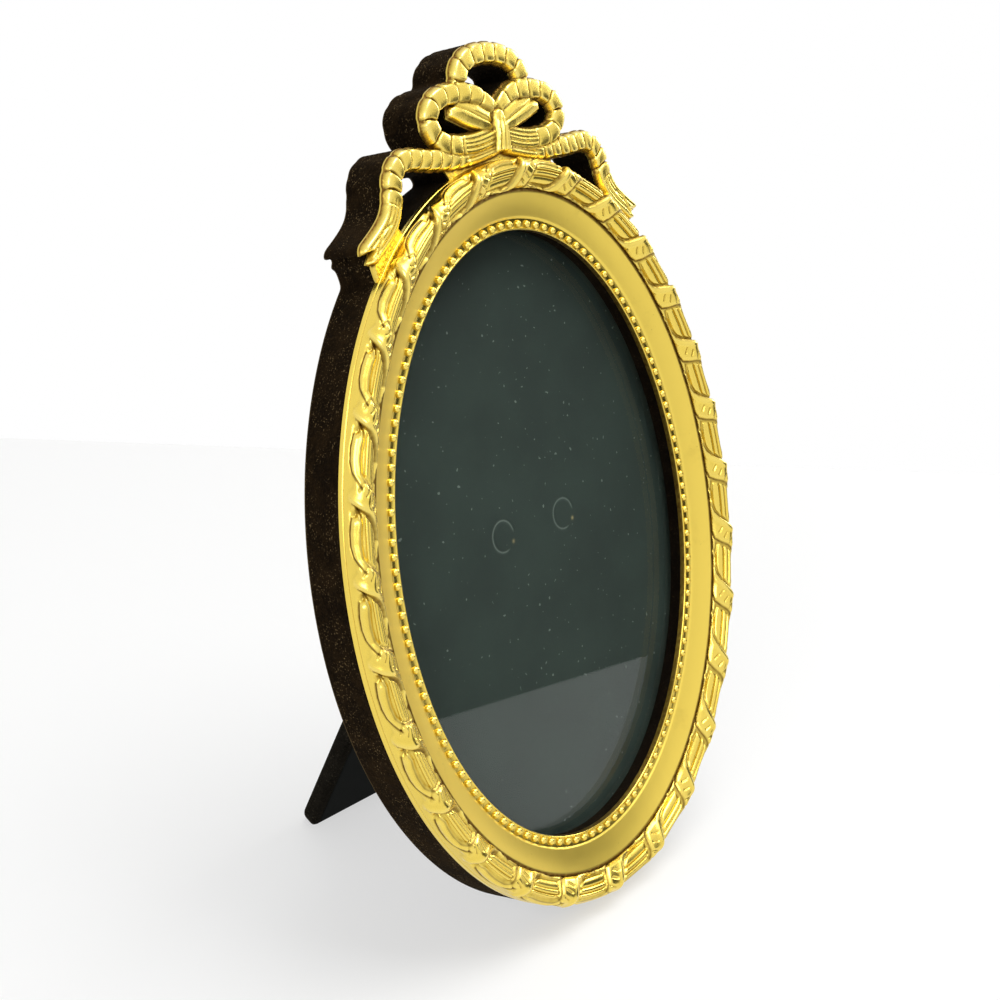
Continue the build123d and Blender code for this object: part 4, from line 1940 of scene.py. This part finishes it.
@dataclass
class CardSheet(Assembly):
    """The dark card, pressed up in two round marks by the rivets behind it, with a painted
    highlight along most of each mark's ring.
    """

    rivet_spread: float = 9.5
    rivet_height: float = 2.5
    mark_radius: float = 3.1
    mark_rise: float = 0.16
    mark_width: float = 0.30
    scuff_width: float = 0.13
    chip_share: float = 0.85
    chip_drop: float = 1.6
    chip_width: float = 0.33
    chip_strength: dict[int, float] = field(default_factory=lambda: {-1: 0.7, 1: 1.0})
    gap_angle: float = 330.0
    gap_edge: Pair = (28.0, 25.0)
    front_gap: float = 0.02
    margin: float = 4.3
    coarse: float = 1.4
    fine: float = 0.16
    crease: float = 40.0

    def build(self) -> list[bpy.types.Object]:
        """Build the card.

        Returns:
            The new objects.
        """
        coarse, fine = self.coarse, self.fine
        across = np.concatenate([np.arange(-48.6, -14.5, coarse), np.arange(-14.0, 14.01, fine),
                                 np.arange(15.4, 49.0, coarse)])
        up = np.concatenate([np.arange(-64.8, -3.5, coarse), np.arange(-2.8, 7.81, fine),
                             np.arange(9.2, 65.0, coarse)])
        cut = FlatCut(across, up, self.oval.grown(self.margin).distance)
        size = len(cut.u)
        top = np.full(size, self.depths.card_face - self.front_gap)
        chip, scuff = np.zeros(size), np.zeros(size)
        for side in (-1, 1):
            du, dv = cut.u - side * self.rivet_spread, cut.v - self.rivet_height
            gap = np.hypot(du, dv) - self.mark_radius
            turn = np.degrees(np.arctan2(dv, du)) % 360
            from_gap = np.abs((turn - self.gap_angle + 180) % 360 - 180)
            shown = smooth_step((from_gap - self.gap_edge[0]) / self.gap_edge[1])
            top -= self.mark_rise * (bell(gap / self.mark_width) * shown)
            # Painted highlight along the ring of the mark.
            scuff = np.maximum(scuff, bell(gap / self.scuff_width) * shown)
            chip_u = side * self.rivet_spread + self.mark_radius * self.chip_share
            chip_gap = np.hypot(cut.u - chip_u, cut.v - (self.rivet_height - self.chip_drop))
            spot = bell(chip_gap / self.chip_width) * self.chip_strength[side]
            chip = np.maximum(chip, spot)
        points, faces = cut.shell(top, self.depths.card_back)
        chips, scuffs = np.zeros(len(points)), np.zeros(len(points))
        chips[:size], scuffs[:size] = chip, scuff
        piece = Piece("chip", "scuff")
        piece.add(points, faces, chip=chips, scuff=scuffs)
        return [piece.make("card_sheet", self.stance, Slot.CARD, self.finishes.card,
                           "photo_card", self.crease)]


@dataclass
class BackCloth(Assembly):
    """The black velvet glued to the back board, drawn over its edge."""

    margin: float = 4.35
    edge_round: float = 0.34
    wave_height: float = 0.05
    step: float = 0.5

    def build(self) -> list[bpy.types.Object]:
        """Build the sheet of velvet.

        Returns:
            The new objects.
        """
        outline = self.oval.grown(self.margin)
        across, up = np.arange(-48.5, 48.6, self.step), np.arange(-64.5, 64.6, self.step)
        cut = FlatCut(across, up, outline.distance)
        wave = np.sin(cut.u * 0.31 + np.sin(cut.v * 0.22)) * np.sin(cut.v * 0.27)
        fall = rounding(-outline.distance(cut.u, cut.v), self.edge_round)
        rear = -self.depths.body + fall + np.maximum(self.wave_height * wave, 0.0)
        sheet = Piece("cut_edge")
        sheet.add(*cut.shell(self.depths.cloth_front, rear))
        return [sheet.make("back_board_velvet", self.stance, Slot.BLACK_VELVET,
                           self.finishes.black_velvet, "back_velvet")]


class LegStance:
    """How the leg stands: swung out about the hinge's pin, with its foot on the floor."""

    def __init__(self, stance: Stance, pin_height: float, pin_depth: float, spread: float) -> None:
        """Keep the hinge's place and how far the leg is open.

        Args:
            stance: how the frame stands.
            pin_height: how high up the frame the pin lies.
            pin_depth: how far out of the front it lies.
            spread: the leg's angle from the back, in degrees.
        """
        self.stance = stance
        self.pin = (pin_height, pin_depth)
        self.spread = math.radians(spread)
        self.tilt = self.spread - stance.lean

    def place(self, points: Array) -> Array:
        """Open the leg and stand it on the floor.

        Args:
            points: points of the closed leg in the flat frame, in millimetres.

        Returns:
            Their places in the scene, in metres.
        """
        u, v, w = np.asarray(points, float).T
        dv, dw = v - self.pin[0], w - self.pin[1]
        s, c = math.sin(self.spread), math.cos(self.spread)
        swung = np.stack([u, self.pin[0] + dv * c - dw * s, self.pin[1] + dv * s + dw * c], axis=1)
        placed = self.stance.place(swung)
        short = np.maximum(-placed[:, 2], 0.0) / math.cos(self.tilt)
        return placed + short[:, None] * np.array([0.0, -math.sin(self.tilt), math.cos(self.tilt)])


@dataclass
class LegCloth(Assembly):
    """The velvet wrapped round the leg's back and edges, and the smooth lining of its front."""

    pin_height: float = -3.2
    pin_depth: float = -10.4
    spread: float = 41.8
    front: float = -9.5
    thickness: float = 4.0
    top: float = -5.6
    foot: float = -80.13
    half_widths: Pair = (31.5, 23.6)
    corner: float = 4.4
    edge_round: float = 1.2
    front_round: float = 1.0
    front_drop: float = 0.12
    turn_in: float = 2.1
    lining_gap: float = 0.03
    lining_depth: float = 0.5
    lining_edge: float = 1.0
    corner_points: int = 14
    insets: Sequence[float] = (3.2, 1.2, 0.9, 0.65, 0.42, 0.24, 0.10, 0.03, 0.0)

    def outline(self, inset: float) -> Array:
        """Draw the leg's rounded outline.

        Args:
            inset: how far it is drawn in.

        Returns:
            Its points, once round from the foot.
        """
        wide, narrow = self.half_widths
        slope = (wide - narrow) / (self.top - self.foot)
        inward = self.corner * math.hypot(1.0, slope)
        upper, lower = self.top - self.corner, self.foot + self.corner
        upper_half = wide - slope * self.corner - inward
        lower_half = narrow + slope * self.corner - inward
        lean = math.atan(slope)
        quarter, half = math.pi / 2, math.pi
        corners = [((lower_half, lower), -quarter, -lean),
                   ((upper_half, upper), -lean, quarter),
                   ((-upper_half, upper), quarter, half + lean),
                   ((-lower_half, lower), half + lean, 3 * quarter)]
        points = []
        for middle, start, end in corners:
            turns = np.linspace(start, end, self.corner_points)
            ring = np.column_stack([np.cos(turns), np.sin(turns)]) * (self.corner - inset)
            points.append(np.array(middle) + ring)
        return np.concatenate(points)

    def lofted(self, section: Line) -> tuple[Array, Faces]:
        """Draw a closed solid whose outline is drawn in and raised as a section says.

        Args:
            section: how far each ring is drawn in, and its height, from the front to the back.

        Returns:
            The points and the faces.
        """
        rings = [self.outline(inset) for inset, _ in section]
        size = len(rings[0])
        points = [np.column_stack([ring, np.full(size, height)])
                  for ring, (_, height) in zip(rings, section)]
        last = (len(rings) - 1) * size
        faces = [list(range(size)), [last + i for i in reversed(range(size))]]
        for row in range(len(rings) - 1):
            for i in range(size):
                j = (i + 1) % size
                near, far = row * size, (row + 1) * size
                faces.append([near + j, near + i, far + i, far + j])
        return np.concatenate(points), faces

    def build(self) -> list[bpy.types.Object]:
        """Build the wrap and the lining.

        Returns:
            The new objects.
        """
        stance = LegStance(self.stance, self.pin_height, self.pin_depth, self.spread)
        insets = np.array(self.insets)
        face, back = self.front - self.front_drop, self.front - self.thickness
        section = [*zip(insets, face - rounding(insets, self.front_round)),
                   *zip(insets[::-1], back + rounding(insets[::-1], self.edge_round))]
        cloth, sheet = Piece("cut_edge"), Piece()
        cloth.add(*self.lofted(section))
        edge, inner = self.turn_in, self.turn_in + self.lining_edge
        top, under = self.front - self.lining_gap, self.front - self.lining_depth
        sheet.add(*self.lofted([(inner, top), (edge + 0.16, top), (edge + 0.05, top - 0.03),
                                (edge, top - 0.12), (edge, under), (inner, under)]))
        return [cloth.make("leg_velvet_wrap", stance, Slot.BLACK_VELVET,
                           self.finishes.black_velvet, "leg_wrap", body=Body.LEG),
                sheet.make("leg_lining_sheet", stance, Slot.LEG_CLOTH,
                           self.finishes.lining, "leg_lining", body=Body.LEG)]


@dataclass
class Carried:
    """The nodes whose own shape is right, given their finishes."""

    finishes: Finishes

    def dress(self) -> list[str]:
        """Give each node its finish.

        Returns:
            The names of the nodes.
        """
        finishes = self.finishes
        finish_of = {
            "glass_pane": finishes.glass, "back_board": finishes.board,
            "leg_board": finishes.board, "button_screws": finishes.button,
        }
        for name in ("hinge_fixed_leaf", "hinge_pin", "board_rivets", "hinge_leg_leaf",
                     "leg_rivets"):
            finish_of[name] = finishes.hinge
        for number in range(1, 5):
            finish_of[f"turn_button_{number}"] = finishes.button
        for name, finish in finish_of.items():
            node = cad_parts[name]
            node.data.materials.clear()
            node.data.materials.append(finish)
        return sorted(finish_of)


@dataclass
class Studio:
    """The pale floor, the backdrop, the lights and the camera."""

    stance: Stance
    lens: float = 57.32
    sensor: float = 36.0
    image_size: float = 1000.0
    camera_place: Triple = (-235.4, 63.96, 196.1)
    camera_up: Triple = (0.2325, 0.9726, -0.0008)
    camera_ahead: Triple = (0.7366, -0.1767, -0.6528)
    floor_edge_left_pixel: Pair = (0.0, 438.0)
    floor_edge_right_pixel: Pair = (1000.0, 475.0)
    glass_line_left_pixel: Pair = (440.0, 720.0)
    glass_line_right_pixel: Pair = (650.0, 655.0)
    glass_pixels: Line = (
        (470, 235), (530, 212), (600, 240), (660, 330), (702, 470), (702, 600), (655, 700),
        (560, 790), (470, 740), (405, 580), (394, 440), (425, 310))
    screen_margin: float = 0.02
    screen_colour: Colour = (0.030, 0.034, 0.032)
    glass_depth: float = -3.6
    reflected_share: float = 0.16
    surround_strength: float = 0.30
    floor_sides: float = 1.5
    floor_depth: float = 3.0
    backdrop_gap: float = 0.6
    backdrop_heights: Pair = (-0.5, 2.4)
    clip: Pair = (0.01, 50.0)
    floor_pale: Pair = (0.86, 0.56)
    backdrop_pale: Pair = (0.9, 1.0)

    # Each light: its name, its place in metres, the length of its side, and its power in watts.
    lights: Sequence[tuple[str, Triple, float, float]] = (
        ("top_light", (0.15, -0.25, 1.1), 0.7, 9.0),
        ("left_light", (-0.9, -0.3, 0.55), 0.45, 3.6),
        ("right_light", (0.95, -0.12, 0.40), 0.3, 2.4))
    aim: Triple = (0.0, 0.0, 0.08)

    def __post_init__(self) -> None:
        """Work out the camera's place and directions in the scene."""
        self.eye = self.stance.place(np.array([self.camera_place]))[0]
        ahead = self.stance.turned(np.array([self.camera_ahead]))[0]
        self.ahead = ahead / np.linalg.norm(ahead)
        up = self.stance.turned(np.array([self.camera_up]))[0]
        up = up - self.ahead * np.dot(up, self.ahead)
        self.up = up / np.linalg.norm(up)
        self.right = np.cross(self.ahead, self.up)

    def ray(self, pixel: Pair) -> Array:
        """Look through a pixel of the photograph.

        Args:
            pixel: its place, counted from the picture's top left corner.

        Returns:
            The direction from the camera.
        """
        focal = self.lens / self.sensor * self.image_size
        middle = self.image_size / 2
        across, down = pixel
        way = self.ahead + self.right * (across - middle) / focal
        way = way + self.up * (middle - down) / focal
        return way / np.linalg.norm(way)

    def on_floor(self, start: Array, way: Array) -> Array:
        """Where a ray meets the floor."""
        return start - way * start[2] / way[2]

    def mirrored(self, pixel: Pair) -> tuple[Array, Array]:
        """Follow the ray through a pixel to the glass.

        Args:
            pixel: the pixel of the photograph.

        Returns:
            Where the ray meets the glass, and the way it goes on from there.
        """
        normal = self.stance.turned(np.array([[0.0, 0.0, 1.0]]))[0]
        face = self.stance.place(np.array([[0.0, 0.0, self.glass_depth]]))[0]
        way = self.ray(pixel)
        hit = self.eye + way * np.dot(face - self.eye, normal) / np.dot(way, normal)
        return hit, way - 2 * np.dot(way, normal) * normal

    def build(self) -> None:
        """Build the studio."""
        self._camera()
        self._floor()
        self._flag()
        self._world()
        self._lights()
        bpy.context.scene.view_settings.view_transform = "Standard"

    def _camera(self) -> None:
        """Set up the camera at the photograph's viewing angle."""
        data = bpy.data.cameras.new("photo_camera")
        data.lens, data.sensor_width, data.sensor_fit = self.lens, self.sensor, "HORIZONTAL"
        data.clip_start, data.clip_end = self.clip
        camera = bpy.data.objects.new("photo_camera", data)
        turn = Matrix(np.column_stack([self.right, self.up, -self.ahead]).tolist()).to_4x4()
        camera.matrix_world = Matrix.Translation(self.eye.tolist()) @ turn
        bpy.context.scene.collection.objects.link(camera)
        bpy.context.scene.camera = camera

    def _pale(self, name: str, colour: float, share: float) -> Material:
        """A pale surface that shows near white to the camera and in reflections.

        Args:
            name: the material's name.
            colour: how pale it is.
            share: how much of what it shows to the camera is plain white.

        Returns:
            The material.
        """
        made = Shader(name)
        matt = made.node("ShaderNodeBsdfDiffuse", {}, {
            "Color": (colour, colour, colour * 0.99, 1.0)})
        light = made.node("ShaderNodeEmission", {}, {
            "Color": (1.0, 1.0, 1.0, 1.0), "Strength": 1.0})
        seen = made.ray("Camera")
        reflected = (made.ray("Glossy") + made.ray("Transmission")).clamped()
        shown = seen * share + reflected * (share + self.reflected_share) * (1.0 - seen)
        return made.finished(made.node("ShaderNodeMixShader", {}, [shown, matt, light]))

    def _sheet(self, name: str, corners: Sequence[Array],
               material: Material) -> bpy.types.Object:
        """A flat piece of the stage.

        Args:
            name: its name.
            corners: its corners in order, in metres.
            material: its finish.

        Returns:
            The new object.
        """
        mesh = bpy.data.meshes.new(name)
        mesh.from_pydata(np.array(corners).tolist(), [], [list(range(len(corners)))])
        mesh.update()
        mesh.materials.append(material)
        made = bpy.data.objects.new(name, mesh)
        bpy.context.scene.collection.objects.link(made)
        return made

    def _floor(self) -> None:
        """The table top, out to its far edge, and the backdrop beyond it."""
        left = self.on_floor(self.eye, self.ray(self.floor_edge_left_pixel))
        right = self.on_floor(self.eye, self.ray(self.floor_edge_right_pixel))
        along = (right - left) / np.linalg.norm(right - left)
        toward = np.array([along[1], -along[0], 0.0])
        far_left, far_right = left - along * self.floor_sides, right + along * self.floor_sides
        near = toward * self.floor_depth
        floor = self._pale("pale_floor", *self.floor_pale)
        self._sheet("floor", [far_left, far_left + near, far_right + near, far_right], floor)
        wall = self._pale("pale_backdrop", *self.backdrop_pale)
        down, up = (np.array([0.0, 0.0, height]) - toward * self.backdrop_gap
                    for height in self.backdrop_heights)
        corners = [far_left + down, far_right + down, far_right + up, far_left + up]
        self._sheet("backdrop", corners, wall)

    def _flag(self) -> None:
        """A dark screen beyond the table's front edge, which the glass and the brass reflect."""
        left = self.on_floor(*self.mirrored(self.glass_line_left_pixel))
        right = self.on_floor(*self.mirrored(self.glass_line_right_pixel))
        along = (right - left) / np.linalg.norm(right - left)
        across = np.array([-along[1], along[0], 0.0])
        shares, tops = [], []
        for pixel in self.glass_pixels:
            hit, way = self.mirrored(pixel)
            met = hit + way * np.dot(left - hit, across) / np.dot(way, across)
            shares.append(float(np.dot(met - left, along)))
            tops.append(float(met[2]))
        start = left + along * (min(shares) - self.screen_margin)
        end = left + along * (max(shares) + self.screen_margin)
        up = np.array([0.0, 0.0, max(tops) + self.screen_margin])
        made = Shader("dark_screen")
        dark = made.node("ShaderNodeBsdfDiffuse", {}, {"Color": (*self.screen_colour, 1.0)})
        corners = [start, end, end + up, start + up]
        screen = self._sheet("dark_screen", corners, made.finished(dark))
        screen.visible_camera = screen.visible_shadow = screen.visible_diffuse = False

    def _world(self) -> None:
        """An even, quiet surround, which shows white to the camera and in reflections."""
        world = bpy.data.worlds.new("surround")
        bpy.context.scene.world = world
        world.use_nodes = True
        nodes = Nodes(world.node_tree, "ShaderNodeOutputWorld")
        shown = (nodes.ray("Camera") + nodes.ray("Glossy")).clamped() + nodes.ray("Transmission")
        strength = nodes.node("ShaderNodeMapRange", {}, {
            "Value": shown.clamped(), "To Min": self.surround_strength, "To Max": 1.0})
        white = {"Color": (1.0, 1.0, 1.0, 1.0), "Strength": strength}
        nodes.end_in(nodes.node("ShaderNodeBackground", {}, white))

    def _lights(self) -> None:
        """Set up the square soft lights, which all face the frame."""
        for name, place, size, power in self.lights:
            data = bpy.data.lights.new(name, "AREA")
            data.shape, data.size, data.energy = "SQUARE", size, power
            made = bpy.data.objects.new(name, data)
            made.location = place
            way = Vector(self.aim) - Vector(place)
            made.rotation_euler = way.to_track_quat("-Z", "Y").to_euler()
            bpy.context.scene.collection.objects.link(made)


def main() -> None:
    """Build the frame, its finishes and its studio."""
    logging.basicConfig(level=logging.INFO, format="%(message)s")
    oval, depths, finishes = Oval(), Depths(), Finishes()
    stance = Stance(depths)
    common = (stance, oval, depths, finishes)
    cloth = Cloth(*common, Bow(oval))
    for part in (StampedFront(*common), cloth, WoodenCore(*common, cloth), CardSheet(*common),
                 BackCloth(*common), LegCloth(*common)):
        for made in part.build():
            LOG.info("piece %s: %d faces", made.name, len(made.data.polygons))
    LOG.info("finishes given to %s", ", ".join(Carried(finishes).dress()))
    Studio(stance).build()


if __name__ == "__main__":
    main()
